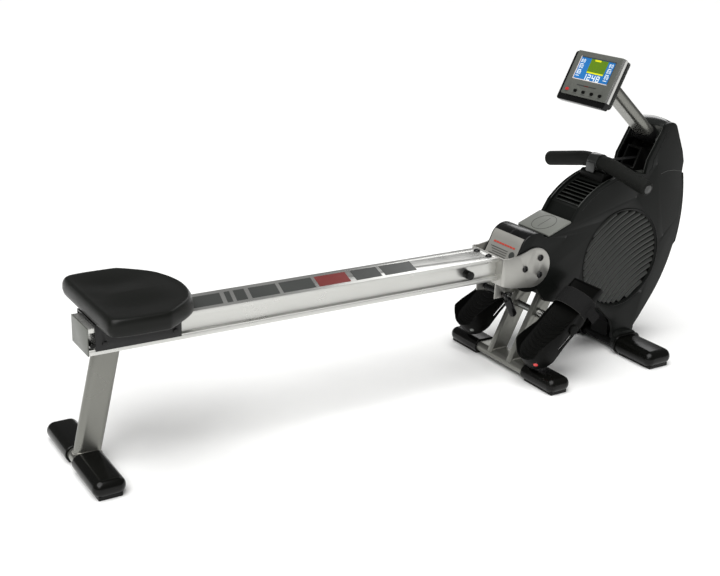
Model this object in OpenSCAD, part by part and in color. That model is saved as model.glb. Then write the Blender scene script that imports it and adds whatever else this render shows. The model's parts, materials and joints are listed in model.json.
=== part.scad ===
// Rowing machine with a flywheel housing, a folding rail and a sliding seat.
// X runs along the rail, from the rear foot to the flywheel. Y runs across. Z is up.
// The origin lies on the floor, under the middle of the whole machine.

/* [Rail] */
// Distance from the origin back to the rail's rear end
rail_back = 1108; // [1060:1:1150]
// Length of the rail
rail_length = 1412; // [1380:1:1440]
// Width of the rail
rail_w = 127; // [120:1:135]
// Height of the rail section
rail_h = 79; // [76:1:84]
// Height of the rail's top face above the floor
rail_top = 440; // [430:1:450]
// Depth of the roller channel in each side of the rail
channel_depth = 13.5; // [12:0.5:15]
// Thickness of the rail's upper flange
upper_flange = 13; // [10:1:16]
// Thickness of the rail's lower flange
lower_flange = 17; // [14:1:18]

/* [Fold joint] */
// Distance from the rail's front end to the fold axis
pivot_reach = 135; // [130:1:140]
// Height of the fold axis above the floor
pivot_z = 394; // [390:1:398]
// Radius of the round end of each fork ear
ear_r = 70; // [64:1:72]
// Outside width across the fork ears
fork_w = 180; // [178:1:184]
// Thickness of the fork plate
fork_t = 5; // [4:0.5:6]
// Radius of the shaft that the fold turns on
pivot_r = 12; // [10:0.5:14]

/* [Feet] */
// Length of the front crossbar over its caps
crossbar_l = 566; // [540:2:590]
// Length of the front foot over its caps
front_foot_l = 564; // [540:2:580]
// Length of the rear foot over its caps
rear_foot_l = 430; // [410:2:450]
// Width of the flat-oval foot tubes
tube_w = 82; // [78:1:84]
// Height of the flat-oval foot tubes
tube_h = 38; // [36:1:40]
// Radius of the transport wheels
wheel_r = 22; // [20:0.5:23]
// Width of the moulded end caps
cap_w = 95; // [92:1:98]
// Height of the moulded end caps
cap_h = 52; // [50:1:54]
// Width of the front foot's larger caps
front_cap_w = 122; // [118:1:124]
// Height of the front foot's larger caps
front_cap_h = 58; // [56:1:60]

/* [Seat] */
// Greatest width of the seat
seat_w = 407; // [380:1:420]
// Height of the seat's rim above the floor
seat_top = 508; // [500:1:515]
// Radius of the seat rollers
roller_r = 14.7; // [13:0.1:14.8]

/* [Housing] */
// Distance from the fold axis forward to the flywheel axis
fly_reach = 421; // [419:1:423]
// Height of the flywheel axis above the floor
fly_z = 367; // [365:1:369]
// Width of the housing over its two shells
shell_w = 164; // [162:1:165]
// Thickness of the shell's side wall
shell_t = 3; // [2.5:0.5:4]
// Width of the raised rim along the edge of each shell
rim_w = 14; // [12:1:16]
// Radius of the housing's round top about the flywheel axis
dome_r = 311; // [308:1:314]
// Radius of the round grille in each shell
grille_r = 176; // [170:1:178]
// Number of curved ribs in each grille
grille_ribs = 17; // [13:1:19]
// Number of louvres in the top vent
louvres = 7; // [5:1:9]

/* [Drive] */
// Radius of the flywheel
flywheel_r = 140; // [130:1:142]
// Radius of the belt pulley on the strap drum's shaft
big_pulley_r = 72; // [66:1:74]
// Radius of the belt pulley on the flywheel's hub
small_pulley_r = 22; // [20:1:24]
// Radius of the strap drum
drum_r = 32; // [28:1:34]
// Radius of the fixed axles of the flywheel and the drum
axle_r = 8; // [7:0.5:9]

/* [Handle] */
// Height of the middle of the handle above the floor
handle_z = 712; // [704:1:716]
// Distance from the flywheel axis back to the handle
handle_back = 90; // [84:1:92]
// Width of the handle over its grips
handle_w = 500; // [460:2:510]
// Outside radius of the foam grips
grip_r = 26.5; // [22:0.5:27]
// Angle by which each half of the handle droops
handle_droop = 12.5; // [10:0.5:14]

/* [Console] */
// Width of the console
console_w = 214; // [200:1:220]
// Height of the console's face along its slope
console_h = 157; // [150:1:165]
// Angle by which the console leans back
console_lean = 25.4; // [24:0.2:27]
// Slope of the console mast above horizontal
mast_slope = 39.5; // [38.5:0.5:40.5]

/* [Footrests] */
// Distance from the middle of the machine to the middle of each footrest
footrest_y = 174; // [172:1:178]
// Width of each footrest
footrest_w = 130; // [124:1:132]
// Slope of the footrests above horizontal
footrest_slope = 42; // [40:1:44]
// Radius of the footrest axle
foot_axle_r = 12; // [11:0.5:13]

/* [Hidden] */
$fn = 64;

contact = 0.3;        // gap between neighbours that only sit beside each other
running = 0.05;       // radial clearance of a bore on its shaft

rail_back_x = -rail_back;
rail_front_x = rail_back_x + rail_length;
rail_bottom = rail_top - rail_h;
pivot = [rail_front_x + pivot_reach, pivot_z];
fly = [pivot[0] + fly_reach, fly_z];

foot_z = 30;
wheel_pin_r = 4;
crossbar_x = pivot[0] - 1;
front_foot_x = fly[0] + 58;
rear_foot_x = rail_back_x - 5;
wheel_axle = [front_foot_x + 47, wheel_r + 1];
wheel_from = 218;
wheel_to = 240;
cap_end_gap = 12;

shell_y = shell_w / 2;
rim_y = shell_y - rim_w;
cover_y = rim_y - contact;
rim_depth = 14;
frame_y = 41;         // half width of the frame's box tubes
plate_t = 4;

post_t = 22;
post_w = 68.4;        // measured level, along X
post_lean = 25;
foot_axle = [pivot[0] + 67, pivot_z - 185];

drum = fly + [-240, 33];
yoke_pin = fly + 168 * [cos(15), sin(15)];
handle = [fly[0] - handle_back, handle_z];
strap_t = 2;
strap_w = 26;
guide_r = 9;
guide = [fly[0] + 145, handle_z - strap_t / 2 - contact - guide_r];
strap_mouth = fly + [80, 348];

console = fly + [-164.5, 648.5];
mast_foot = fly + [178, 395];
console_depth = 40;

lock_pin = [rail_front_x + 36, pivot_z - 90];
lock_r = 6;

seat_x = rail_back_x;
carriage_from = seat_x + 16;
carriage_to = seat_x + 266;
roller_z = rail_bottom + lower_flange + roller_r + contact;
roller_xs = [seat_x + 42, seat_x + 247];

// ---------- outlines: lists of points [x, z] ----------

function unit(v) = v / norm(v);
function left_of(v) = [-v[1], v[0]];
function reversed(p) = [for (i = [len(p) - 1:-1:0]) p[i]];
function arc(c, r, from, to, steps = 12) =
  [for (i = [0:steps]) let (a = from + (to - from) * i / steps) c + r * [cos(a), sin(a)]];

// How far corner b moves when both of its edges move one unit to their left
function corner_shift(a, b, c) =
  let (n = left_of(unit(b - a)), m = unit(n + left_of(unit(c - b)))) m / max(0.5, m * n);

// A closed outline, drawn anticlockwise, moved inwards by d
function inset(p, d) = let (n = len(p))
  [for (i = [0:n - 1]) p[i] + d * corner_shift(p[(i + n - 1) % n], p[i], p[(i + 1) % n])];

// An open line moved to its left by d
function offset_line(p, d) = let (n = len(p))
  [for (i = [0:n - 1])
    let (a = i == 0 ? 2 * p[0] - p[1] : p[i - 1], c = i == n - 1 ? 2 * p[i] - p[i - 1] : p[i + 1])
    p[i] + d * corner_shift(a, p[i], c)];

// The band between two offsets of an open line
function strip(p, d0, d1) = concat(offset_line(p, d0), reversed(offset_line(p, d1)));

front_c = fly + [-277, 133];
front_r = 556;
barrel_c = pivot + [1, 58];
barrel_r = 60;
lobe_r = 90;
lobe_line = arc(pivot, lobe_r, 176, 290);
belly_line = [fly + [-350, -108], fly + [-77, -183], fly + [-10, -243], fly + [8, -283], fly + [8, -315]];
front_line = concat(
  [fly + [108, -315], fly + [112, -279], fly + [135, -249]],
  arc(front_c, front_r, -35, 15.4, 16),
  [fly + [261, 333], fly + [248, 371]]);
crown_line = arc(fly + [172, 445], 35, 20, 150, 10);
neck_line = [fly + [118, 418], fly + [80, 350], fly + [71, 302]];
dome_line = arc(fly, dome_r, 76.8, 138, 20);
tray_line = [fly + [-259, 162], fly + [-360, 124]];
barrel_line = arc(barrel_c, barrel_r, 42, 165, 12);
housing_line = concat(lobe_line, belly_line, front_line, crown_line, neck_line, dome_line, tray_line, barrel_line);

// ---------- shared shapes ----------

// An outline in X and Z as a solid from y0 to y1
module across(y0, y1) {
  translate([0, y1, 0]) rotate([90, 0, 0]) linear_extrude(y1 - y0) children();
}

// A round bar along Y at the X-Z point c
module bar(c, r, y0, y1) {
  translate([c[0], y1, c[1]]) rotate([90, 0, 0]) cylinder(r = r, h = y1 - y0);
}

module both_sides() {
  children();
  mirror([0, 1, 0]) children();
}

module flat_oval(w, h) {
  square([w - h, h], center = true);
  for (s = [-1, 1]) translate([s * (w - h) / 2, 0]) circle(d = h);
}

module rounded_plate(w, h, r) {
  square([w - 2 * r, h], center = true);
  square([w, h - 2 * r], center = true);
  for (x = [-1, 1], y = [-1, 1]) translate([x * (w / 2 - r), y * (h / 2 - r)]) circle(r);
}

// The full section of a foot tube, as a solid from y0 to y1
module foot_tube_solid(x, y0, y1, grow = 0) {
  translate([x, 0, foot_z]) across(y0, y1) flat_oval(tube_w + 2 * grow, tube_h + 2 * grow);
}

module foot_tube(x, half_length) {
  wall = 2.5;
  difference() {
    foot_tube_solid(x, -half_length, half_length);
    foot_tube_solid(x, -half_length - 1, half_length + 1, -wall);
  }
}

// A moulded cap on the +Y end of a foot tube that ends at tube_y, with its flat pad
module foot_cap(x, inner_y, outer_y, tube_y, w = cap_w, h = cap_h) {
  ball = h / 2;
  spread = w / 2 - ball;
  z = foot_z + (h - cap_h) / 2;
  difference() {
    union() {
      hull($fn = 32) {
        translate([x, 0, z]) across(inner_y, inner_y + 1) flat_oval(w, h);
        for (s = [-1, 1]) {
          translate([x + s * spread, outer_y - 1.6 * ball, z]) sphere(ball, $fn = 32);
          translate([x + 0.4 * s * spread, outer_y - ball, z]) sphere(ball, $fn = 32);
        }
      }
      translate([x - 0.36 * w, inner_y + 10, 0]) cube([0.72 * w, outer_y - inner_y - 22, 12]);
    }
    foot_tube_solid(x, inner_y - 1, tube_y + 1, contact);
  }
}

// ---------- feet and frame ----------

// Half the length of a foot tube inside caps of height h and total length l
function tube_end(l, h) = l / 2 - h / 2 - cap_end_gap - 1;

module crossbar_tube() {
  color("silver") foot_tube(crossbar_x, tube_end(crossbar_l, cap_h));
}

front_tube_end = 206;

module foot_caps() {
  color("#202224") both_sides() {
    foot_cap(crossbar_x, crossbar_l / 2 - 158, crossbar_l / 2, tube_end(crossbar_l, cap_h));
    difference() {
      foot_cap(front_foot_x, 112, front_foot_l / 2, front_tube_end, front_cap_w, front_cap_h);
      // Slot for the transport wheel, open to the front and to the floor
      translate([front_foot_x + 20, wheel_from - 3, -1]) cube([60, wheel_to - wheel_from + 6, 50]);
    }
    bar(wheel_axle, wheel_pin_r, wheel_from - 4, wheel_to + 4);
    // Flange ring against the housing's collar
    difference() {
      translate([front_foot_x, 0, foot_z + 6]) across(105, 112) flat_oval(front_cap_w + 12, front_cap_h + 12);
      foot_tube_solid(front_foot_x, 104, 113, contact);
    }
  }
}

module post_outline(from_z, to_z, edge = 0) {
  lean = tan(post_lean);
  foot_x = crossbar_x - 38;
  polygon([
    [foot_x + edge + (from_z - 50) * lean, from_z],
    [foot_x + post_w - edge + (from_z - 50) * lean, from_z],
    [foot_x + post_w - edge + (to_z - 50) * lean, to_z],
    [foot_x + edge + (to_z - 50) * lean, to_z],
  ]);
}

module posts() {
  wall = 2.5;
  hook_y = 56;
  color("silver") {
    both_sides() difference() {
      across(frame_y, frame_y + post_t) post_outline(40, 300);
      across(frame_y + wall, frame_y + post_t - wall) post_outline(39, 301, wall * 1.1);
      foot_tube_solid(crossbar_x, 0, 100);
      bar(foot_axle, foot_axle_r, 0, 100);
    }
    // Saddle in which the fold lock's pin rests
    difference() {
      across(hook_y, hook_y + plate_t) polygon([
        [lock_pin[0] - 10, lock_pin[1] - 20],
        foot_axle + [-30, 40],
        foot_axle + [20, 45],
        foot_axle + [30, 72],
        [lock_pin[0] + 12, lock_pin[1] + 8],
        [lock_pin[0] + 7, lock_pin[1] + 8],
        [lock_pin[0] + 7, lock_pin[1] - lock_r - 0.5],
        [lock_pin[0] - 10, lock_pin[1] - lock_r - 0.5],
      ]);
      across(frame_y, frame_y + post_t - wall) post_outline(39, 301, wall * 1.1);
    }
  }
}

spine_outline = [
  pivot + [-18, -14], pivot + [34, -72], pivot + [76, -124], fly + [-77, -172], fly + [-6, -232],
  fly + [20, -272], fly + [20, -325], fly + [96, -325], fly + [96, -266], fly + [120, -226],
  fly + [92, -214], fly + [30, -190], fly + [-62, -150], pivot + [110, -92], pivot + [22, -6],
];

// Box tube seen from the side, from -frame_y to frame_y
module box_tube(outline) {
  wall = 3;
  difference() {
    across(-frame_y, frame_y) polygon(outline);
    across(-frame_y + wall, frame_y - wall) polygon(inset(outline, wall));
  }
}

module main_frame() {
  head = mast_foot;
  mast_across = [sin(mast_slope), cos(mast_slope)];
  upright_r = front_r - 20;
  upright_line = arc(front_c, upright_r, -43, 16.5, 16);
  color("#3a3d40") difference() {
    union() {
      box_tube(spine_outline);
      box_tube(strip(upright_line, 0, 36));
      // Head that carries the mast
      across(-frame_y, frame_y) polygon([
        front_c + (upright_r - 36) * [cos(16.5), sin(16.5)],
        front_c + upright_r * [cos(16.5), sin(16.5)],
        head + [36, -46], head + 18 * mast_across, head - 18 * mast_across,
      ]);
      bar(pivot, 22, -58, 58);
      bar(pivot, pivot_r, -fork_w / 2 + fork_t + 1, fork_w / 2 - fork_t - 1);
      both_sides() across(frame_y, frame_y + plate_t) {
        polygon([fly + [-75, -160], fly + [15, -190], fly + [45, -185], fly + [24, 24], fly + [-24, 24]]);
        polygon([drum + [-30, -150], drum + [40, -160], drum + [22, 24], drum + [-22, 24]]);
      }
      // Lugs of the strap's guide roller
      both_sides() across(20, 24) polygon([
        guide + [-8, -8], guide + [50, -14], guide + [50, 14], guide + [-8, 8],
      ]);
      // Lugs and pin of the magnet yoke
      both_sides() across(24, 28) polygon([
        yoke_pin + [-8, -8], yoke_pin + [66, -14], yoke_pin + [66, 14], yoke_pin + [-8, 8],
      ]);
      bar(yoke_pin, 5, -28, 28);
    }
    foot_tube_solid(front_foot_x, -60, 60);
    for (c = [fly, drum]) bar(c, axle_r, -60, 60);
    bar(guide, 4 + running, -60, 60);
  }
}

module front_foot_tube() {
  color("#2b2d2f") foot_tube(front_foot_x, front_tube_end);
}

module wheel() {
  round_r = 5;
  width = wheel_to - wheel_from;
  bore = wheel_pin_r + running;
  color("#1c1d1f") translate([wheel_axle[0], wheel_to, wheel_axle[1]]) rotate([90, 0, 0]) rotate_extrude() {
    translate([bore, 0]) square([wheel_r - round_r - bore, width]);
    translate([bore, round_r]) square([wheel_r - bore, width - 2 * round_r]);
    for (y = [round_r, width - round_r]) intersection() {
      translate([wheel_r - round_r, y]) circle(round_r);
      square([wheel_r + 1, width]);
    }
  }
}

module wheel_left() wheel();
module wheel_right() mirror([0, 1, 0]) wheel();

// ---------- footrests ----------

module footrest_axle() {
  end = footrest_y + footrest_w / 2;
  color("silver") {
    bar(foot_axle, foot_axle_r, -end - 1, end + 1);
    both_sides() {
      bar(foot_axle, 17, end + contact, end + 6);
      bar(foot_axle, 17, footrest_y - footrest_w / 2 - 5, footrest_y - footrest_w / 2 - contact);
    }
  }
}

module footrest_springs() {
  coils = 6;
  wire_r = 2.2;
  color("#b9bdc0") both_sides() for (i = [0:coils - 1])
    translate([foot_axle[0], frame_y + post_t + 4 + i * 5, foot_axle[1]]) rotate([90, 0, 0])
      rotate_extrude() translate([foot_axle_r + wire_r + contact, 0]) circle(wire_r, $fn = 24);
}

// Footrest space: X up the slope to the toes, Y across, Z out of the sole
module on_footrest(side) {
  translate([foot_axle[0], side * footrest_y, foot_axle[1]]) rotate([0, -footrest_slope, 0]) children();
}

heel_x = -118;
toe_x = 168;
sole_z = 18;

module sole_outline(edge = 0) {
  half = footrest_w / 2 - edge;
  translate([heel_x, -half]) square([toe_x - edge - heel_x, 2 * half]);
  intersection() {
    translate([heel_x, 0]) circle(half);
    translate([heel_x - half - 1, -half - 1]) square([half + 1, 2 * half + 2]);
  }
}

module footrest(side) {
  wall = 4;
  half = footrest_w / 2;
  color("#1b1c1e") on_footrest(side) difference() {
    union() {
      // Walls round the sole, high beside the heel and low behind it
      intersection() {
        translate([0, 0, -40]) linear_extrude(110) difference() {
          sole_outline();
          sole_outline(wall);
        }
        across(-half - 1, half + 1) polygon([
          [heel_x - 70, -26], [heel_x, -28], [-60, -22], [40, -22], [100, -4], [toe_x + 1, 6],
          [toe_x + 1, 22], [90, 25], [-40, 28], [heel_x + 22, 46], [heel_x - 16, 54], [heel_x - 46, 33],
          [heel_x - 70, 31],
        ]);
      }
      // Sole
      translate([0, 0, sole_z - wall]) linear_extrude(wall) sole_outline(wall / 2);
      // Axle boss and its web
      bar([0, 0], foot_axle_r + 6, -half + 1, half - 1);
      translate([-6, 1 - half, 0]) cube([12, footrest_w - 2, sole_z - wall / 2]);
    }
    bar([0, 0], foot_axle_r + running, -half - 1, half + 1);
    // Slot through both side walls
    translate([-83, -half - 1, -13]) cube([66, footrest_w + 2, 6]);
  }
}

module footrest_left() footrest(1);
module footrest_right() footrest(-1);

module foot_strap(side) {
  half = footrest_w / 2 + contact;
  side_z = 28;
  rise = 29;
  bend_r = (half * half + rise * rise) / (2 * rise);
  open = asin((bend_r - rise) / bend_r);
  band = concat([[half, -12]], arc([0, side_z + rise - bend_r], bend_r, open, 180 - open, 16), [[-half, -12]]);
  color("#17181a") on_footrest(side) translate([53, 0, 0]) rotate([90, 0, 90])
    linear_extrude(65) polygon(strip(band, 0, -3));
}

module foot_strap_left() foot_strap(1);
module foot_strap_right() foot_strap(-1);

// ---------- housing ----------

module shell() {
  color("#26282a") difference() {
    union() {
      across(shell_y - shell_t, shell_y) polygon(housing_line);
      across(rim_y, shell_y - shell_t) difference() {
        polygon(housing_line);
        polygon(inset(housing_line, rim_depth));
      }
      // Front wall, which meets the other shell at the middle
      across(contact / 2, rim_y + 1) polygon(strip(front_line, 0, shell_t));
      // Ring round the grille
      across(shell_y - 8, shell_y - 1) translate(fly) difference() {
        circle(grille_r + 8);
        circle(grille_r);
      }
      // Collar round the front foot
      translate([front_foot_x, 0, foot_z + 14]) across(shell_y - shell_t, 104) flat_oval(tube_w + 26, tube_h + 38);
    }
    bar(fly, grille_r, shell_y - 9, shell_y + 1);
    // Bevel into the grille
    translate([fly[0], shell_y + 0.1, fly[1]]) rotate([90, 0, 0])
      cylinder(r1 = grille_r + 8, r2 = grille_r - 1, h = 6);
    bar(pivot, 47.5, rim_y - 1, shell_y + 1);
    foot_tube_solid(front_foot_x, 0, 120, contact);
    for (c = screw_points) bar(c, 5, shell_y - 2, shell_y + 1);
    for (c = screw_points) bar(c, 2, shell_y - 6, shell_y + 1);
  }
}

screw_points = [
  fly + [39, 223], fly + [-281, 116], fly + [123, 335], fly + [205, 60], fly + [130, -150], fly + [-200, -70],
];

module shell_left() shell();
module shell_right() mirror([0, 1, 0]) shell();

module shell_screws() {
  color("#0f1011") both_sides() for (c = screw_points) {
    bar(c, 4.6, shell_y - 2, shell_y - 0.6);
    bar(c, 2, shell_y - 6, shell_y - 2);
  }
}

module grilles() {
  back_y = shell_y - 14;
  rib_c = [287, -410];
  reach = norm(rib_c);
  rib_w = 12;
  color("#3c3f42") both_sides() {
    across(back_y, back_y + 2) translate(fly) circle(grille_r + 6);
    difference() {
      bar(fly, grille_r + 6, back_y + 2, shell_y - 8);
      bar(fly, grille_r - 4, back_y, shell_y);
    }
    across(back_y + 2, shell_y - 4) intersection() {
      translate(fly) circle(grille_r - 3);
      for (i = [0:grille_ribs - 1]) let (r = reach + (i - (grille_ribs - 1) / 2) * 2 * grille_r / grille_ribs)
        translate(fly + rib_c) difference() {
          circle(r + rib_w / 2, $fn = 180);
          circle(r - rib_w / 2, $fn = 180);
        }
    }
  }
}

module barrel_cover() {
  color("#161718") across(-cover_y, cover_y) polygon(strip(concat(barrel_line, lobe_line), 1, 4));
}

module label_plate() {
  half = 66;
  last = len(barrel_line) - 1;
  line = concat([for (i = [last - 3:last]) barrel_line[i]], [lobe_line[0]]);
  color("#8d9092") across(-half, half) polygon(strip(line, 0.8, -1.2));
}

module tool_tray() {
  middle = (tray_line[0] + tray_line[1]) / 2;
  slope = atan2(tray_line[0][1] - tray_line[1][1], tray_line[0][0] - tray_line[1][0]);
  color("#b6b9bb") {
    across(-shell_y, shell_y) polygon(strip(tray_line, -contact, -8));
    translate([middle[0], 0, middle[1]]) rotate([0, -slope, 0]) translate([0, 0, 7]) difference() {
      cylinder(r = 40, h = 2.5);
      translate([-30, -1.5, 1.8]) cube([60, 3, 2]);
    }
  }
}

vent_from = 114;
vent_to = 136;
vent_half = 58;

module top_cover() {
  recess = 9;
  wall = 3;
  r = dome_r - recess;
  step = [tray_line[0], dome_line[len(dome_line) - 1]];
  color("#232527") {
    difference() {
      across(-cover_y, cover_y) {
        polygon(strip(arc(fly, r, 72.5, 138, 24), 0, wall));
        polygon(strip(reversed(step), recess, recess + wall));
      }
      across(-vent_half, vent_half) polygon(concat(
        arc(fly, r + 5, vent_from, vent_to, 6), arc(fly, r - 8, vent_to, vent_from, 6)));
    }
    for (i = [0:louvres - 1]) let (a = vent_from + (vent_to - vent_from) * (i + 0.5) / louvres)
      translate([fly[0], 0, fly[1]]) rotate([0, -a, 0]) translate([r - 4, 0, 0]) rotate([0, 30, 0])
        cube([2, 2 * vent_half + 2, 10], center = true);
  }
}

module handle_rest() {
  seat_r = dome_r - 9 + contact;
  top = handle_z - collar_r - 0.5;
  color("#1a1b1d") across(-56, 56) polygon(concat(
    arc(fly, seat_r, 101.5, 112, 6),
    [[handle[0] - 24, top - 8], [handle[0] - 18, top], [handle[0] + 18, top], [handle[0] + 27, top - 6]]));
}

// Space of the strap's mouth: X inwards, across the plane of its frame
module on_strap_mouth() {
  translate([strap_mouth[0], 0, strap_mouth[1]]) rotate([0, 22, 0]) children();
}

module neck_channel() {
  wall = 3;
  floor_depth = 38;
  color("#141516") difference() {
    union() {
      across(-cover_y, cover_y) polygon(strip(neck_line, floor_depth, floor_depth + wall));
      both_sides() across(cover_y - wall, cover_y) polygon(strip(neck_line, 1, floor_depth + 1));
      // Frame that guides the strap
      on_strap_mouth() difference() {
        translate([-8, -34, -40]) cube([52, 68, 80]);
        translate([-9, -26, -32]) cube([54, 52, 64]);
      }
    }
    // Way through for the strap
    on_strap_mouth() translate([0, -26, -32]) cube([60, 52, 64]);
    on_mast() translate([0, 0, -5]) linear_extrude(150) rotate(90) flat_oval(mast_w + 2, mast_t + 2);
  }
}

module neck_cap() {
  wall = 4;
  color("#2c2e30") difference() {
    union() {
      across(-cover_y, cover_y) {
        polygon(strip(crown_line, 0, wall));
        // Wall behind the mast
        polygon(strip([crown_line[len(crown_line) - 1], fly + [138, 410]], 0, wall));
      }
      // Boot around the mast
      on_mast() translate([0, 0, 36]) linear_extrude(40) rotate(90) flat_oval(mast_w + 10, mast_t + 10);
    }
    on_mast() translate([0, 0, -5]) linear_extrude(150) rotate(90) flat_oval(mast_w + 2, mast_t + 2);
  }
}

module front_cover() {
  depth = 22;
  wall = 3;
  half = 72;
  color("#202224") difference() {
    across(-half, half) polygon(concat(
      arc(front_c, front_r + contact, 15.4, -15, 14), arc(front_c, front_r + depth, -11, 15.4, 14)));
    across(-half + wall, half - wall) polygon(concat(
      arc(front_c, front_r - 1, 14.9, -14, 14), arc(front_c, front_r + depth - wall, -11.2, 14.9, 14)));
  }
}

// ---------- mast and console ----------

mast_w = 84;
mast_t = 40;

// Mast space: Z up along the mast
module on_mast() {
  translate([mast_foot[0], 0, mast_foot[1]]) rotate([0, mast_slope - 90, 0]) children();
}

// Console space: X to the user's right, Y up the face, Z out of the face
module on_console() {
  translate([console[0], 0, console[1]]) rotate([0, console_lean, 0]) rotate([90, 0, -90]) children();
}

module mast() {
  wall = 2.5;
  color("silver") difference() {
    on_mast() linear_extrude(430) rotate(90) difference() {
      flat_oval(mast_w, mast_t);
      flat_oval(mast_w - 2 * wall, mast_t - 2 * wall);
    }
    on_console() translate([-console_w / 2, -console_h, -console_depth]) cube([console_w, 2 * console_h, 200]);
  }
}

module console_back() {
  wall = 2.5;
  face_t = 6;
  back_w = console_w + 16;
  back_h = console_h + 20;
  color("#1a1b1d") on_console() translate([-9, -11.5, -console_depth]) difference() {
    linear_extrude(console_depth - face_t) rounded_plate(back_w, back_h, 9);
    translate([9, 11.5, wall]) linear_extrude(console_depth) rounded_plate(console_w - 10, console_h - 10, 8);
  }
}

screen_w = 166;
screen_h = 82;
screen_up = 19.5;
button_up_by = -61.5;
button_shift = -5;
button_step = 39.5;
button_size = [15, 10];

module console_face() {
  face_t = 6;
  color("#b9bcbf") on_console() difference() {
    translate([0, 0, -face_t]) linear_extrude(face_t) rounded_plate(console_w, console_h, 5);
    translate([-screen_w / 2, screen_up - screen_h / 2, -face_t - 1]) cube([screen_w, screen_h, face_t + 2]);
    for (i = [-2:2]) translate([i * button_step + button_shift, button_up_by, -face_t - 1])
      linear_extrude(face_t + 2) flat_oval(button_size[0] + 2 * contact, button_size[1] + 2 * contact);
  }
}

module console_screen() {
  color("#3d79b8") on_console() translate([contact - screen_w / 2, screen_up - screen_h / 2 + contact, -6])
    cube([screen_w - 2 * contact, screen_h - 2 * contact, 4.5]);
}

module button(place, tint) {
  color(tint) on_console() translate([place * button_step + button_shift, button_up_by, -9])
    linear_extrude(11.5) flat_oval(button_size[0], button_size[1]);
}

module button_reset() button(-2, "#c0261f");
module button_mode() button(-1, "#222");
module button_set() button(0, "#222");
module button_up() button(1, "#222");
module button_down() button(2, "#222");

// ---------- drive ----------

belt_y = 22;
belt_w = 10;

module fixed_axles() {
  color("#9a9ea1") for (c = [fly, drum]) {
    bar(c, axle_r, -frame_y - plate_t - 6, frame_y + plate_t + 6);
    both_sides() bar(c, axle_r + 6, frame_y + plate_t, frame_y + plate_t + 6);
  }
}

module flywheel() {
  color("#6d7174") difference() {
    union() {
      bar(fly, flywheel_r, -6, 6);
      difference() {
        bar(fly, flywheel_r, -13, 13);
        bar(fly, flywheel_r - 35, -14, 14);
      }
      bar(fly, 26, -20, 20);
      bar(fly, small_pulley_r, 0, belt_y + belt_w);
    }
    bar(fly, axle_r + running, -30, 50);
  }
}

module drive_pulley() {
  color("#303335") difference() {
    bar(drum, big_pulley_r, belt_y, belt_y + belt_w);
    bar(drum, axle_r + running, belt_y - 1, belt_y + belt_w + 1);
  }
}

module strap_drum() {
  color("#303335") difference() {
    union() {
      bar(drum, drum_r, -16, 16);
      for (y = [-18, 16]) bar(drum, drum_r + 14, y, y + 2);
    }
    bar(drum, axle_r + running, -20, 20);
  }
}

// A belt's loop round both pulleys, at distance grow from their surfaces
function belt_outline(grow) = let (
    d = fly - drum,
    dir = atan2(d[1], d[0]),
    open = acos((big_pulley_r - small_pulley_r) / norm(d)))
  concat(
    arc(drum, big_pulley_r + grow, dir + open, dir + 360 - open, 48),
    arc(fly, small_pulley_r + grow, dir - open, dir + open, 24));

module drive_belt() {
  color("#101011") across(belt_y + 1, belt_y + belt_w - 1) difference() {
    polygon(belt_outline(contact + 2.5));
    polygon(belt_outline(contact));
  }
}

module magnet_yoke() {
  color("#54585b") difference() {
    union() {
      both_sides() across(16, 21) difference() {
        polygon(concat(arc(fly, 102, 25, 75), arc(fly, flywheel_r + 12, 75, 25)));
        translate(fly) circle(60);
      }
      across(-21, 21) polygon(concat(arc(fly, flywheel_r + 5, 28, 75), arc(fly, flywheel_r + 12, 75, 28)));
      both_sides() across(16, 21) polygon([
        yoke_pin + [-6, -8], yoke_pin + [6, -8], yoke_pin + [6, 8], fly + 150 * [cos(32), sin(32)],
        fly + 110 * [cos(28), sin(28)],
      ]);
      bar(yoke_pin, 10, -21, 21);
    }
    bar(yoke_pin, 5 + running, -30, 30);
  }
}

module strap_roller() {
  color("#cfd2d4") {
    bar(guide, guide_r, -17, 17);
    bar(guide, 4, -30, 30);
  }
}

// ---------- rail ----------

module rail_section() {
  wall = 4;
  half = rail_w / 2;
  floor_y = half - channel_depth;
  channel_h = rail_h - upper_flange - lower_flange;
  difference() {
    translate([-half, rail_bottom]) square([rail_w, rail_h]);
    for (s = [-1, 1]) {
      translate([s * half - channel_depth, rail_bottom + lower_flange]) square([2 * channel_depth, channel_h]);
      translate([s * half - 1, rail_bottom + lower_flange - 5]) square([2, 1.5]);
    }
    translate([-floor_y + wall, rail_bottom + wall]) square([2 * (floor_y - wall), rail_h - 2 * wall]);
  }
}

module rail() {
  color("#d4d6d8") difference() {
    translate([rail_back_x, 0, 0]) rotate([90, 0, 90]) linear_extrude(rail_length) rail_section();
    for (y = rail_bolt_ys) translate([rail_bolt_x, y, rail_top - 20]) cylinder(r = 5, h = 30);
  }
}

rail_bolt_x = rail_front_x - 20;
rail_bolt_ys = [-32, 32];

module rail_end_plate() {
  color("#9da0a2") translate([rail_back_x - 4, -rail_w / 2 - 1, rail_bottom - 1]) cube([4, rail_w + 2, rail_h + 2]);
}

stop_x = rail_front_x - 127;

module rail_stops() {
  floor_y = rail_w / 2 - channel_depth;
  color("#151617") both_sides() {
    bar([stop_x, rail_top - 40], 14, floor_y, 80);
    bar([rail_back_x + 8, roller_z], 7, floor_y, 74);
  }
}

module rear_leg() {
  wall = 2.5;
  lean = 12.4;
  color("silver") difference() {
    translate([rail_back_x, 0, foot_z + 3]) rotate([0, lean, 0]) translate([0, 0, -20]) linear_extrude(390)
      difference() {
        flat_oval(80, 40);
        flat_oval(80 - 2 * wall, 40 - 2 * wall);
      }
    translate([rail_back_x - 100, -50, rail_bottom]) cube([300, 100, 100]);
    translate([rail_back_x - 100, -50, foot_z - 60]) cube([300, 100, 61]);
    foot_tube_solid(rear_foot_x, -60, 60);
  }
}

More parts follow.
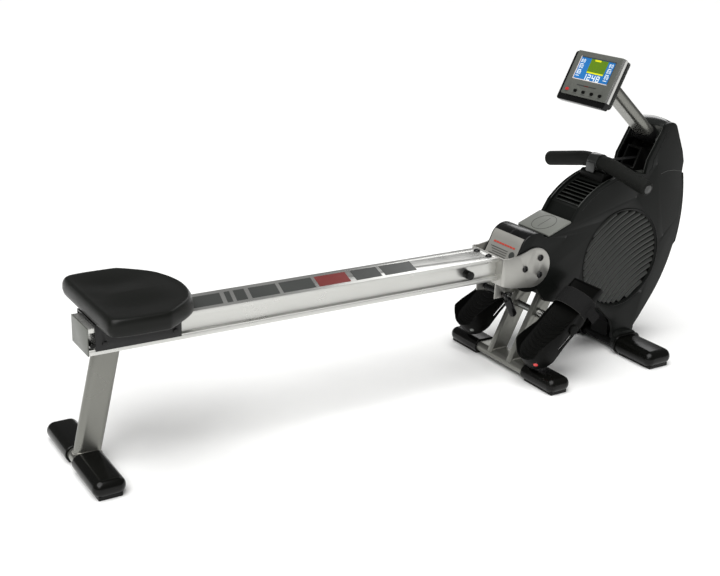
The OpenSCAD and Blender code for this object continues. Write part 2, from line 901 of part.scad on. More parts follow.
module rear_foot_tube() {
  color("silver") foot_tube(rear_foot_x, tube_end(rear_foot_l, cap_h));
}

module rear_foot_caps() {
  color("#202224") both_sides() foot_cap(rear_foot_x, 27, rear_foot_l / 2, tube_end(rear_foot_l, cap_h));
}

// ---------- fork and fold lock ----------

module fork_plan(edge) {
  half = fork_w / 2 - edge;
  bend = 12 - edge;
  from = rail_front_x + edge;
  translate([from + bend, -half]) square([260, 2 * half]);
  translate([from, bend - half]) square([bend + 1, 2 * (half - bend)]);
  for (s = [-1, 1]) translate([from + bend, s * (half - bend)]) circle(bend);
}

module fork_side() {
  x = rail_front_x;
  translate(pivot) circle(ear_r);
  polygon([
    [x - 1, rail_bottom - 15], [x + 41, pivot_z - 61], pivot + [0, -ear_r], pivot + [0, ear_r - 3],
    pivot + [-18, 67.5], pivot + [-41, 60], pivot + [-69, 52], [x + 30, rail_top + 1], [x - 1, rail_top + 1],
  ]);
}

fork_bolt_spots = [pivot + [26, 32], pivot + [-39, 0], pivot + [28, -29]];

module fork_bracket() {
  lug_x = rail_front_x + 3;
  lug_outline = [
    [lug_x, lock_pin[1] - 14], lock_pin + [12, -14], lock_pin + [12, 14], [lug_x + 15, rail_bottom - 9],
    [lug_x, rail_bottom - 9],
  ];
  color("#c3c6c8") difference() {
    union() {
      intersection() {
        translate([0, 0, pivot_z - 100]) linear_extrude(200) difference() {
          fork_plan(0);
          fork_plan(fork_t);
        }
        across(-fork_w, fork_w) fork_side();
      }
      // Tongue inside the rail, under its top wall
      translate([rail_front_x - 70, -40, rail_top - 12]) cube([71, 80, 7.5]);
      // Lugs that carry the fold lock
      for (y = [-54, 44]) across(y, y + plate_t) polygon(lug_outline);
    }
    for (y = rail_bolt_ys) translate([rail_bolt_x, y, rail_top - 20]) cylinder(r = 5, h = 30);
    for (c = fork_bolt_spots) bar(c, 5, -fork_w, fork_w);
    bar(lock_pin, lock_r + running, -60, 60);
  }
}

module pivot_hubs() {
  color("#7d8184") both_sides() difference() {
    bar(pivot, 46, fork_w / 2 - fork_t - 22, fork_w / 2 - fork_t);
    bar(pivot, pivot_r + running, 0, fork_w);
    for (c = fork_bolt_spots) bar(c, 5, 0, fork_w);
  }
}

module fork_bolts() {
  head_r = 9.5;
  color("#1d1e20") {
    both_sides() for (c = fork_bolt_spots) {
      bar(c, head_r, fork_w / 2, fork_w / 2 + 5.5);
      bar(c, 5, fork_w / 2 - fork_t - 16, fork_w / 2 + 1);
    }
    for (y = rail_bolt_ys) translate([rail_bolt_x, y, 0]) {
      translate([0, 0, rail_top]) cylinder(r = head_r, h = 5.5);
      translate([0, 0, rail_top - 16]) cylinder(r = 5, h = 17);
    }
  }
}

module lock_lever() {
  tilt = 30;
  color("#121314") {
    bar(lock_pin, lock_r, -70, 68);
    bar(lock_pin, lock_r + 4, 34, 38);
    translate([lock_pin[0], -70, lock_pin[1]]) rotate([0, 180 - tilt, 0]) {
      sphere(lock_r + 0.5);
      cylinder(r = lock_r, h = 24);
      translate([0, 0, 20]) cylinder(r = 13.5, h = 62);
      translate([0, 0, 82]) sphere(13.5);
    }
  }
}

module lock_spring() {
  coils = 16;
  wire_r = 1.5;
  color("#2a2b2d") for (i = [0:coils - 1])
    translate([lock_pin[0], -47 + i * 5, lock_pin[1]]) rotate([90, 0, 0])
      rotate_extrude() translate([lock_r + wire_r + contact, 0]) circle(wire_r, $fn = 24);
}

// ---------- seat ----------

// Half of the seat's outline seen from above, from the rear to the front
seat_half = [[16, 0], [16, 0.88], [26, 0.95], [42, 0.98], [80, 1], [170, 1], [185, 0.985], [262, 0.66],
  [285, 0.4], [296, 0.2], [300, 0]];

function seat_outline(edge) = let (half = seat_w / 2 - edge, mid = 155) concat(
  [for (p = reversed(seat_half)) [seat_x + mid + (p[0] - mid) * (1 - edge / mid), p[1] * half]],
  [for (p = seat_half) [seat_x + mid + (p[0] - mid) * (1 - edge / mid), -p[1] * half]]);

module seat_pad() {
  color("#1d1e20") hull() {
    translate([0, 0, seat_top - 6]) linear_extrude(6) polygon(seat_outline(4));
    translate([0, 0, seat_top - 14]) linear_extrude(6) polygon(seat_outline(0));
    translate([0, 0, rail_top + 17.5]) linear_extrude(2) polygon(seat_outline(13));
  }
}

module seat_carriage() {
  side_y = 67;
  plate_w = carriage_to - carriage_from;
  color("#161718") {
    // Seat pan
    translate([0, 0, rail_top + 10]) linear_extrude(7) polygon(seat_outline(18));
    // Carriage that straddles the rail
    translate([carriage_from, -side_y - plate_t, rail_top + 6]) cube([plate_w, 2 * (side_y + plate_t), plate_t + 1]);
    both_sides() {
      translate([carriage_from, side_y, rail_bottom + lower_flange - 4])
        cube([plate_w, plate_t, rail_h - lower_flange + 12]);
      for (x = roller_xs) {
        bar([x, roller_z], 4, rail_w / 2 - channel_depth + 1.5, side_y + plate_t + 5);
        bar([x, roller_z], 8, side_y + plate_t, side_y + plate_t + 5);
        bar([x, roller_z], 6, side_y - 2, side_y + 1);
      }
    }
  }
}

module rollers(x) {
  color("#d9d9d4") both_sides() difference() {
    bar([x, roller_z], roller_r, rail_w / 2 - channel_depth + 2, rail_w / 2 - 1);
    bar([x, roller_z], 4 + running, 0, rail_w);
  }
}

module rear_rollers() rollers(roller_xs[0]);
module front_rollers() rollers(roller_xs[1]);

// ---------- handle ----------

collar_r = 30;
collar_half = 22;
grip_bend_y = 60;

grip_round = 10;
grip_run = grip_bend_y + (handle_w / 2 - grip_bend_y) / cos(handle_droop) - grip_round
  - (grip_r - grip_round) * tan(handle_droop);
bar_end = grip_run - 6;
bar_r = 11;

// A ring round the handle's bent line, at distance s along it from the middle
function bar_ring(s, r) = let (
    side = sign(s),
    out = max(0, abs(s) - grip_bend_y),
    turn = side * handle_droop * (abs(s) < grip_bend_y ? 0 : abs(s) == grip_bend_y ? 0.5 : 1),
    y = side * (min(abs(s), grip_bend_y) + out * cos(handle_droop)),
    z = handle[1] - out * sin(handle_droop))
  [for (i = [0:31]) let (a = i * 360 / 32)
    [handle[0] + r * sin(a), y + r * cos(a) * sin(turn), z + r * cos(a) * cos(turn)]];

// A closed body through rings with equal point counts
module lofted(rings) {
  n = len(rings[0]);
  last = (len(rings) - 1) * n;
  polyhedron(
    points = [for (ring = rings) each ring],
    faces = concat(
      [[for (i = [0:n - 1]) i], [for (i = [n - 1:-1:0]) last + i]],
      [for (k = [0:len(rings) - 2], i = [0:n - 1]) let (a = k * n + i, b = k * n + (i + 1) % n) each
        [[a, a + n, b + n], [a, b + n, b]]]));
}

module handle_bar() {
  color("#8a8d90") lofted([for (s = [-bar_end, -grip_bend_y, grip_bend_y, bar_end]) bar_ring(s, bar_r)]);
}

// Each grip is drawn from the end of its bore to its mouth, then along its outside to its rounded end
module handle_grips() {
  from = collar_half + 1;
  color("#2f3032") both_sides() lofted(concat(
    [for (s = [bar_end, grip_bend_y, from]) bar_ring(s, bar_r)],
    [for (s = [from, grip_bend_y]) bar_ring(s, grip_r)],
    [for (a = [0:15:90]) bar_ring(grip_run + grip_round * sin(a), grip_r - grip_round * (1 - cos(a)))]));
}

module handle_collar() {
  color("#5d6063") difference() {
    union() {
      bar(handle, collar_r, -collar_half, collar_half);
      translate([handle[0], -strap_w / 2 - 3, handle[1] - 8]) cube([collar_r + 14, strap_w + 6, 16]);
    }
    bar(handle, bar_r, -collar_half - 1, collar_half + 1);
    translate([handle[0] + collar_r + 6, -strap_w / 2 - contact, handle[1] - strap_t / 2 - contact])
      cube([20, strap_w + 2 * contact, strap_t + 2 * contact]);
  }
}

// The strap's outer run, and its run inside the housing from the roller to the drum
module strap() {
  from = handle[0] + collar_r + 8;
  run = drum - guide;
  leave_angle = atan2(run[1], run[0]) + acos((drum_r - guide_r) / norm(run));
  leave = guide + (guide_r + contact) * [cos(leave_angle), sin(leave_angle)];
  meet = drum + (drum_r + contact) * [cos(leave_angle), sin(leave_angle)];
  color("#1b1b1c") {
    translate([from, -strap_w / 2, handle[1] - strap_t / 2]) cube([guide[0] - from, strap_w, strap_t]);
    across(-strap_w / 2, strap_w / 2) polygon(strip([meet, leave], 0, -strap_t));
  }
}

crossbar_tube();
posts();
main_frame();
front_foot_tube();
foot_caps();
footrest_axle();
footrest_springs();
shell_left();
shell_right();
grilles();
shell_screws();
barrel_cover();
label_plate();
tool_tray();
top_cover();
handle_rest();
neck_channel();
neck_cap();
front_cover();
mast();
console_back();
console_face();
console_screen();
fixed_axles();
drive_belt();
button_reset();
button_mode();
button_set();
button_up();
button_down();
flywheel();
drive_pulley();
strap_drum();
strap_roller();
magnet_yoke();
rail();
rail_end_plate();
rail_stops();
rear_leg();
rear_foot_tube();
rear_foot_caps();
fork_bracket();
pivot_hubs();
fork_bolts();
lock_lever();
lock_spring();
seat_pad();
seat_carriage();
rear_rollers();
front_rollers();
handle_bar();
handle_grips();
handle_collar();
strap();
footrest_left();
footrest_right();
foot_strap_left();
foot_strap_right();
wheel_left();
wheel_right();
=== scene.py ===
import json
import math

import bmesh
import bpy
from mathutils import Matrix, Vector


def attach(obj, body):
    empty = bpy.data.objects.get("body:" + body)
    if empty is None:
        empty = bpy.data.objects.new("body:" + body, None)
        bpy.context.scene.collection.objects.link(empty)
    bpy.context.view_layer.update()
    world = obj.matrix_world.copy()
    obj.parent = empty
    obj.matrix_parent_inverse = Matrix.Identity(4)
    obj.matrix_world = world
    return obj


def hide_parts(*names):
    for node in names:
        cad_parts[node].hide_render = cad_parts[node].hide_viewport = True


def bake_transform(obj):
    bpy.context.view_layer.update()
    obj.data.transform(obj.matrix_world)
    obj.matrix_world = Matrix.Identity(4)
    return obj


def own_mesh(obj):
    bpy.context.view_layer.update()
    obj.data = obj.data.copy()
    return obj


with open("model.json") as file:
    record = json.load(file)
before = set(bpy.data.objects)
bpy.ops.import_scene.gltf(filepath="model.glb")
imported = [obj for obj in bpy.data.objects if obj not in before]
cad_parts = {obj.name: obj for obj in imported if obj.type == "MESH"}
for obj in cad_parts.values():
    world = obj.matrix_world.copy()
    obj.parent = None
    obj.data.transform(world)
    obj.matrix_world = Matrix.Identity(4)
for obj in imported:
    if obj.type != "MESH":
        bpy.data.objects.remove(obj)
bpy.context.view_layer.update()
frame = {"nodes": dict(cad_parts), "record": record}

# Rowing machine. X runs along the rail to the flywheel, Y across, Z up. Outlines are in millimetres.

NODES = frame["nodes"]
BODY_OF = {n: b for b, ns in frame["record"]["behaviour"]["bodies"].items() for n in ns}
SLOT_OF = {s["node"]: s["material_slot"] for s in frame["record"]["subparts"]}
MM = 0.001
X, Y, Z = Vector((1, 0, 0)), Vector((0, 1, 0)), Vector((0, 0, 1))

# Flywheel axis, fold axis and middle of the barrel over it
FLY = Vector((860, 0, 367))
PIVOT = Vector((439, 0, 394))
BARREL = Vector((440, 0, 452))
BARREL_R = 60
GRILLE_R = 176
SHELL_Y = 82
DOME_R = 311
RAIL_TOP = 440
SEAT_BACK = -1108
SEAT_HALF_W = 203.5
SEAT_TOP = 508
FOOT_AXLE = Vector((506, 0, 209))
FOOTREST_Y = 174
FOOTREST_SLOPE = math.radians(42)
FOOTREST_HALF_W = 65.3
CONSOLE = Vector((695.5, 0, 1015.5))
CONSOLE_LEAN = math.radians(25.4)
CONSOLE_HALF_W = 107
CONSOLE_HALF_H = 78.5
KEY_STEP = 39.5
LOCK_PIN = Vector((340, 0, 304))
HANDLE = Vector((770, 0, 712))
GRIP_R = 26.5
MAST_FOOT = Vector((1038, 0, 762))
MAST_SLOPE = math.radians(39.5)
MAST_HOLE = (86, 42)
FOOT_Z = 30
CROSSBAR_X, FRONT_FOOT_X, REAR_FOOT_X = 438, 918, -1113


# ---------- camera ----------

def add_camera():
    place = (-1.9948, -2.7213, 1.5715)
    yaw, pitch, roll = -0.582, 0.347, 0.045
    back = Vector((math.sin(yaw) * math.cos(pitch), -math.cos(yaw) * math.cos(pitch), math.sin(pitch)))
    level = Vector((math.cos(yaw), math.sin(yaw), 0))
    top = back.cross(level)
    right = level * math.cos(roll) + top * math.sin(roll)
    up = top * math.cos(roll) - level * math.sin(roll)
    data = bpy.data.cameras.new("camera")
    data.sensor_width = 36
    data.lens = 54.9
    camera = bpy.data.objects.new("camera", data)
    camera.matrix_world = Matrix.Translation(place) @ Matrix((right, up, back)).transposed().to_4x4()
    bpy.context.scene.collection.objects.link(camera)
    bpy.context.scene.camera = camera


# ---------- materials ----------

def surface(name, color, rough, metal=0.0, grain=900.0, depth=0.1, stretch=(1, 1, 1), tint=0.08, spread=0.06,
            coat=0.0, shine=0.5, voronoi=False):
    """A procedural surface: fine grain as bump, broad patches in colour and roughness.

    grain is the fineness and depth the strength of the bump; tint and spread are how far the patches
    move the colour and the roughness.
    """
    mat = bpy.data.materials.new(name)
    mat.use_nodes = True
    tree = mat.node_tree
    shader = tree.nodes["Principled BSDF"]
    shader.inputs["Metallic"].default_value = metal
    shader.inputs["Specular IOR Level"].default_value = shine
    shader.inputs["Coat Weight"].default_value = coat
    shader.inputs["Coat Roughness"].default_value = 0.12
    place = tree.nodes.new("ShaderNodeTexCoord")
    mapping = tree.nodes.new("ShaderNodeMapping")
    mapping.inputs["Scale"].default_value = stretch
    tree.links.new(place.outputs["Object"], mapping.inputs["Vector"])
    fine = tree.nodes.new("ShaderNodeTexVoronoi" if voronoi else "ShaderNodeTexNoise")
    fine.inputs["Scale"].default_value = grain
    tree.links.new(mapping.outputs["Vector"], fine.inputs["Vector"])
    bump = tree.nodes.new("ShaderNodeBump")
    bump.inputs["Strength"].default_value = depth
    bump.inputs["Distance"].default_value = 0.0006
    tree.links.new(fine.outputs["Distance" if voronoi else "Fac"], bump.inputs["Height"])
    tree.links.new(bump.outputs["Normal"], shader.inputs["Normal"])
    broad = tree.nodes.new("ShaderNodeTexNoise")
    broad.inputs["Scale"].default_value = 7
    broad.inputs["Detail"].default_value = 6
    tree.links.new(mapping.outputs["Vector"], broad.inputs["Vector"])
    for low, high, socket in (
        ([c * (1 - tint) for c in color] + [1], [c * (1 + tint) for c in color] + [1], "Base Color"),
        ([rough - spread] * 3 + [1], [rough + spread] * 3 + [1], "Roughness"),
    ):
        ramp = tree.nodes.new("ShaderNodeValToRGB")
        ramp.color_ramp.elements[0].position = 0.3
        ramp.color_ramp.elements[1].position = 0.7
        ramp.color_ramp.elements[0].color = low
        ramp.color_ramp.elements[1].color = high
        tree.links.new(broad.outputs["Fac"], ramp.inputs["Fac"])
        tree.links.new(ramp.outputs["Color"], shader.inputs[socket])
    return mat


def woven(name, color, along, across):
    """Webbing: a plain weave from two crossed waves, in the object's own space."""
    mat = surface(name, color, 0.85, grain=500, depth=0.1, shine=0.15)
    tree = mat.node_tree
    place = tree.nodes["Texture Coordinate"]
    bump = tree.nodes["Bump"]
    heights = []
    for direction in (along, across):
        turn = tree.nodes.new("ShaderNodeVectorMath")
        turn.operation = "DOT_PRODUCT"
        turn.inputs[1].default_value = Vector(direction) * 2600
        wave = tree.nodes.new("ShaderNodeMath")
        wave.operation = "SINE"
        tree.links.new(place.outputs["Object"], turn.inputs[0])
        tree.links.new(turn.outputs["Value"], wave.inputs[0])
        heights.append(wave)
    product = tree.nodes.new("ShaderNodeMath")
    product.operation = "MULTIPLY"
    tree.links.new(heights[0].outputs[0], product.inputs[0])
    tree.links.new(heights[1].outputs[0], product.inputs[1])
    tree.links.new(product.outputs[0], bump.inputs["Height"])
    bump.inputs["Strength"].default_value = 0.5
    return mat


def glowing(name, color, strength):
    """A lit patch of the display, behind a glossy window."""
    mat = surface(name, color, 0.18, grain=1500, depth=0.02, coat=0.6)
    shader = mat.node_tree.nodes["Principled BSDF"]
    shader.inputs["Emission Color"].default_value = list(color) + [1]
    shader.inputs["Emission Strength"].default_value = strength
    return mat


MATERIALS = {
    "housing_plastic": surface("housing_plastic", (0.0055, 0.0062, 0.0055), 0.38, grain=1400, depth=0.12,
                               shine=0.14, 
                               tint=0.12),
    "grille_plastic": surface("grille_plastic", (0.034, 0.036, 0.033), 0.36, grain=1400, depth=0.1,
                              shine=0.25),
    "black_plastic": surface("black_plastic", (0.003, 0.0031, 0.0028), 0.4, grain=1200, depth=0.15,
                             shine=0.08),
    "gloss_black": surface("gloss_black", (0.004, 0.004, 0.004), 0.22, grain=600, depth=0.03, shine=0.3),
    "silver_plastic": surface("silver_plastic", (0.135, 0.14, 0.125), 0.36, metal=0.3, grain=2200,
                              depth=0.1),
    "label": surface("label", (0.26, 0.255, 0.235), 0.38, grain=800, depth=0.04),
    "screen": glowing("screen", (0.015, 0.15, 0.42), 0.12),
    "red_button": surface("red_button", (0.5, 0.025, 0.025), 0.3, grain=900, depth=0.05, coat=0.2),
    "rail_aluminium": surface("rail_aluminium", (0.62, 0.62, 0.595), 0.3, metal=0.85, grain=900,
                              depth=0.02, tint=0.015),
    "tube_silver": surface("tube_silver", (0.22, 0.22, 0.20), 0.3, metal=0.8, grain=900, depth=0.06,
                           tint=0.03),
    "frame_black": surface("frame_black", (0.003, 0.0032, 0.003), 0.45, grain=900, depth=0.15, shine=0.12),
    "fork_steel": surface("fork_steel", (0.42, 0.415, 0.39), 0.36, metal=0.85, grain=900, depth=0.02,
                          tint=0.02),
    "spring_chrome": surface("spring_chrome", (0.6, 0.6, 0.58), 0.2, metal=1.0, grain=500, depth=0.04),
    "axle_steel": surface("axle_steel", (0.36, 0.37, 0.36), 0.33, metal=0.9, grain=700, depth=0.08,
                          stretch=(1, 0.05, 1)),
    "black_steel": surface("black_steel", (0.006, 0.006, 0.006), 0.34, grain=900, depth=0.08, shine=0.35),
    "cast_iron": surface("cast_iron", (0.16, 0.165, 0.17), 0.5, metal=0.8, grain=300, depth=0.3),
    "belt_rubber": surface("belt_rubber", (0.008, 0.008, 0.008), 0.7, grain=700, depth=0.2, shine=0.2),
    "roller_nylon": surface("roller_nylon", (0.62, 0.62, 0.58), 0.45, grain=900, depth=0.06),
    "foam": surface("foam", (0.0065, 0.007, 0.006), 0.7, grain=1100, depth=0.5, shine=0.15, voronoi=True,
                    tint=0.12),
    "seat_skin": surface("seat_skin", (0.0055, 0.006, 0.005), 0.36, grain=900, depth=0.22, shine=0.2,
                         voronoi=True),
    "webbing": woven("webbing", (0.009, 0.009, 0.009), (0.743, 0, 0.669), (0, 1, 0)),
    "foot_rubber": surface("foot_rubber", (0.003, 0.0031, 0.0026), 0.24, grain=500, depth=0.04,
                           shine=0.15, coat=0.1),
}
# Light grey for painted highlights along the edges of the footrest straps.
STRAP_EDGE_HIGHLIGHT = surface("strap_edge_highlight", (0.07, 0.07, 0.065), 0.8, grain=700, depth=0.3)
# Deep black, also used as painted shade in the tray's engraved grooves.
DEEP_BLACK = surface("deep_black", (0.003, 0.003, 0.003), 0.7, grain=700, depth=0.1, shine=0.1)
# Dark grey for printed marks, also used as painted shade on the top and right edges of the display window.
PRINT_AND_SHADE_GREY = surface("print_and_painted_shade_grey", (0.042, 0.045, 0.042), 0.4, grain=900, depth=0.03)
DECAL_RED = surface("decal_red", (0.17, 0.018, 0.016), 0.4, grain=900, depth=0.03)
PRINT_RED = surface("print_red", (0.5, 0.05, 0.03), 0.4, grain=900, depth=0.03)
REFLECTOR = surface("reflector", (0.7, 0.03, 0.03), 0.2, grain=260, depth=0.6, voronoi=True, coat=0.4)
REFLECTOR_GREY = surface("reflector_grey", (0.16, 0.17, 0.16), 0.25, grain=260, depth=0.6, voronoi=True,
                         coat=0.3)
# Pale colour on the bottom and left edges of the display window: painted light.
BEZEL_PAINTED_LIGHT = surface("bezel_painted_light", (0.68, 0.62, 0.60), 0.35, grain=900, depth=0.04)
LCD_WHITE = glowing("lcd_white", (0.75, 0.85, 0.9), 0.15)
LCD_GREEN = glowing("lcd_green", (0.10, 0.20, 0.006), 0.1)
LCD_YELLOW = glowing("lcd_yellow", (0.66, 0.66, 0.01), 0.2)
# Light grey for painted highlights on the shell edges and louvre edges, and for a painted reflection on the
# neck's sill.
HIGHLIGHT_GREY = surface("painted_highlight_grey", (0.04, 0.042, 0.038), 0.35, grain=900, depth=0.05)
COLLAR_GREY = surface("collar_grey", (0.012, 0.013, 0.012), 0.3, grain=900, depth=0.05, coat=0.2)
# Grey of the console's rear rim, also used as a painted highlight on the shells' front seam.
RIM_GREY_AND_SEAM_HIGHLIGHT = surface("rim_grey_and_seam_highlight", (0.045, 0.047, 0.044), 0.45, grain=900, depth=0.08)
TRAY_GREY = surface("tray_grey", (0.15, 0.155, 0.14), 0.36, grain=2000, depth=0.1)
CAP_GLOSS = surface("cap_gloss", (0.008, 0.009, 0.008), 0.22, grain=900, depth=0.03, shine=0.5, coat=0.3)
STRAP_WEB = woven("strap_web", (0.009, 0.009, 0.009), (1, 0, 0), (0, 1, 0))
WELD = surface("weld", (0.5, 0.49, 0.45), 0.3, metal=0.8, grain=350, depth=0.5)


# ---------- meshes ----------

def tidy(obj, angle=35.0):
    """Consistent normals, and smooth shading except over sharp edges."""
    bm = bmesh.new()
    bm.from_mesh(obj.data)
    bmesh.ops.recalc_face_normals(bm, faces=bm.faces)
    bm.to_mesh(obj.data)
    bm.free()
    obj.data.shade_smooth()
    obj.data.set_sharp_from_angle(angle=math.radians(angle))
    return obj


def piece(name, points, faces, body, slot, material=None, replaces=(), angle=35.0):
    """A new mesh from points in millimetres, riding on a body."""
    mesh = bpy.data.meshes.new(name)
    mesh.from_pydata([tuple(Vector(p) * MM) for p in points], [], faces)
    mesh.validate()
    obj = bpy.data.objects.new(name, mesh)
    bpy.context.scene.collection.objects.link(obj)
    return settle(tidy(obj, angle), body, slot, material, replaces)


def settle(obj, body, slot, material=None, replaces=()):
    obj.data.materials.clear()
    obj.data.materials.append(material or MATERIALS[slot])
    if body:
        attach(obj, body)
    if replaces:
        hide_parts(*replaces)
    return obj


def apply_modifiers(obj):
    graph = bpy.context.evaluated_depsgraph_get()
    done = bpy.data.meshes.new_from_object(obj.evaluated_get(graph))
    obj.modifiers.clear()
    obj.data = done


def softened(node, width, where=None, segments=2):
    """A copy of a CAD node with its sharp edges rounded off, in its place; where(middle) picks edges."""
    obj = bpy.data.objects.new(node + "_finished", NODES[node].data.copy())
    bpy.context.scene.collection.objects.link(obj)
    bm = bmesh.new()
    bm.from_mesh(obj.data)
    bmesh.ops.remove_doubles(bm, verts=bm.verts, dist=2e-6)
    bmesh.ops.dissolve_limit(bm, angle_limit=math.radians(1), verts=bm.verts, edges=bm.edges)
    sharp = [e for e in bm.edges if len(e.link_faces) == 2 and e.calc_face_angle(0) > math.radians(32)
             and (where is None or where((e.verts[0].co + e.verts[1].co) / 2 / MM))]
    bmesh.ops.bevel(bm, geom=sharp, offset=width * MM, segments=segments, profile=0.5, affect="EDGES",
                    clamp_overlap=True)
    bm.to_mesh(obj.data)
    bm.free()
    return settle(tidy(obj), BODY_OF[node], SLOT_OF[node], replaces=[node])


def ring_faces(rings, count, first=0, loop=False):
    """Quads between consecutive rings of count points, and round each ring."""
    faces = []
    for i in range(rings if loop else rings - 1):
        a, b = first + i * count, first + (i + 1) % rings * count
        faces += [(a + j, a + (j + 1) % count, b + (j + 1) % count, b + j) for j in range(count)]
    return faces


def loft(rings, loop=False):
    """Points and faces of a closed body through rings with equal point counts."""
    count = len(rings[0])
    points = [p for ring in rings for p in ring]
    faces = ring_faces(len(rings), count, loop=loop)
    if not loop:
        faces += [tuple(range(count)), tuple(range(len(points) - count, len(points)))]
    return points, faces


def circle(radius, count=16):
    """A closed 2-D outline."""
    return [(radius * math.cos(2 * math.pi * i / count), radius * math.sin(2 * math.pi * i / count))
            for i in range(count)]


def rounded_rect(width, height, radius, steps=5):
    """A closed 2-D outline, steps to each corner."""
    points = []
    for i, (sx, sy) in enumerate(((1, 1), (-1, 1), (-1, -1), (1, -1))):
        for k in range(steps + 1):
            a = math.pi / 2 * (i + k / steps)
            points.append((sx * (width / 2 - radius) + radius * math.cos(a),
                           sy * (height / 2 - radius) + radius * math.sin(a)))
    return points


def sweep(path, profile, side, scales=None, loop=False):
    """Points and faces of a profile carried along a path; the profile's second axis stays near side."""
    rings = []
    last = len(path) - 1
    for i, p in enumerate(path):
        ahead = path[(i + 1) % len(path)] if loop else path[min(i + 1, last)]
        behind = path[i - 1] if loop else path[max(i - 1, 0)]
        across = (ahead - behind).normalized().cross(side).normalized()
        upward = across.cross((ahead - behind).normalized())
        scale = scales[i] if scales else 1
        rings.append([p + across * u * scale + upward * v * scale for u, v in profile])
    return loft(rings, loop)


def lathe(profile, centre, axis, steps=48):
    """Points and faces of a closed profile of (radius, height) turned about an axis."""
    axis = axis.normalized()
    side = (X if abs(axis.x) < 0.9 else Y).cross(axis).normalized()
    front = axis.cross(side)
    rings = []
    for i in range(steps):
        a = 2 * math.pi * i / steps
        out = side * math.cos(a) + front * math.sin(a)
        rings.append([centre + out * r + axis * h for r, h in profile])
    return loft(rings, loop=True)


def joined(parts):
    """One list of points and faces from several."""
    points, faces = [], []
    for p, f in parts:
        faces += [tuple(i + len(points) for i in face) for face in f]
        points += p
    return points, faces


def mirrored(part):
    """The same on the other side of the machine."""
    points, faces = part
    return [Vector((p[0], -p[1], p[2])) for p in points], faces


def both_sides(part):
    return joined([part, mirrored(part)])


def slab(outline, low, high, place):
    """A plate with a 2-D outline, from low to high along the third axis of place(a, b, c)."""
    return loft([[place(a, b, c) for a, b in outline] for c in (low, high)])


def arc_points(centre, radius, start, end, steps):
    """Points in the X-Z plane, angles in degrees."""
    turn = [math.radians(start + (end - start) * i / steps) for i in range(steps + 1)]
    return [Vector((centre[0] + radius * math.cos(a), 0, centre[2] + radius * math.sin(a))) for a in turn]


def chaikin(points, rounds):
    """A closed outline with its corners cut smooth."""
    for _ in range(rounds):
        cut = []
        for i, p in enumerate(points):
            q = points[(i + 1) % len(points)]
            cut += [p.lerp(q, 0.25), p.lerp(q, 0.75)]
        points = cut
    return points


def stadium(width, height, steps=10):
    """A flat oval, wider than it is high."""
    end = (width - height) / 2
    return [(side * end + height / 2 * math.cos(a), height / 2 * math.sin(a))
            for side, first in ((1, -90), (-1, 90))
            for a in (math.radians(first + 180 * k / steps) for k in range(steps + 1))]


def rect(a0, b0, a1, b1, slant=0):
    return [(a0, b0), (a1, b0), (a1 + slant, b1), (a0 + slant, b1)]


def rounded_slab(width, height, radius, low, high, edge, place, up=0, aside=0):
    """A plate with rounded corners and edges, from low to high along the third axis of place(a, b, c)."""
    levels = [(edge, low), (0, low + edge), (0, high - edge), (edge * 0.3, high - edge * 0.3), (edge, high)]
    return loft([[place(a + aside, b + up, c) for a, b in
                  rounded_rect(width - 2 * i, height - 2 * i, max(radius - i, 0.4))] for i, c in levels])


def printed(name, place, patches, lift, body, slot, material):
    """Thin patches, each a flat outline, on a surface given by place(a, b, c)."""
    parts = [slab(patch, lift, lift + 0.3, place) for patch in patches]
    return piece(name, *joined(parts), body, slot, material)


def carve(obj, cutter):
    """Cuts the body given as points and faces out of an object."""
    tool = piece("cutter", *cutter, None, "black_plastic")
    cut = obj.modifiers.new("cut", "BOOLEAN")
    cut.object = tool
    cut.solver = "EXACT"
    cut.use_self = True
    apply_modifiers(obj)
    bpy.data.objects.remove(tool)
    return tidy(obj)


def helix(centre, radius, low, high, turns, wire):
    """A round wire wound about a line along Y."""
    steps_per_turn = 18
    count = turns * steps_per_turn
    path = []
    for i in range(count + 1):
        a = 2 * math.pi * turns * i / count
        along = low + (high - low) * i / count
        path.append(centre + Vector((radius * math.cos(a), along, radius * math.sin(a))))
    return sweep(path, circle(wire, 7), Y)


def bead(path, radius, loop=True):
    """A weld bead, a little lumpy, along a path."""
    scales = [1 + 0.22 * math.sin(2.6 * i) for i in range(len(path))]
    return sweep(path, circle(radius, 7), Z, scales, loop)


# ---------- where things are ----------

def on_rail(a, b, c):
    return Vector((a, b, RAIL_TOP + c))


def on_console(a, b, c):
    """A to the user's right, B up the face, C out of the face."""
    sin, cos = math.sin(CONSOLE_LEAN), math.cos(CONSOLE_LEAN)
    return CONSOLE + Vector((b * sin - c * cos, -a, c * sin + b * cos))


def on_footrest(side):
    """U up the slope, Y across, V out of the sole."""
    sin, cos = math.sin(FOOTREST_SLOPE), math.cos(FOOTREST_SLOPE)
    return lambda u, y, v: FOOT_AXLE + Vector((u * cos - v * sin, side * FOOTREST_Y + y, u * sin + v * cos))


def on_slope(low, high):
    """A across, B up the slope from its middle, C out of it; low and high are the slope's ends."""
    up = (high - low).normalized()
    out = Y.cross(up) if Y.cross(up).z > 0 else up.cross(Y)
    return lambda a, b, c: (low + high) / 2 + Y * a + up * b + out * c


def on_mast(a, b, c):
    """A across, B through the mast, C along it upwards."""
    sin, cos = math.sin(MAST_SLOPE), math.cos(MAST_SLOPE)
    return MAST_FOOT + Vector((b * sin - c * cos, a, b * cos + c * sin))


on_label = on_slope(Vector((349.2, 0, 400.3)), Vector((382, 0, 467.5)))
on_tray = on_slope(Vector((500, 0, 491)), Vector((601, 0, 529)))


# ---------- CAD parts with rounded edges ----------

def on_shell_edge(p):
    return abs(p.y) > 60 and (p - Vector((FLY.x, p.y, FLY.z))).length > GRILLE_R + 20 and p.z > 40


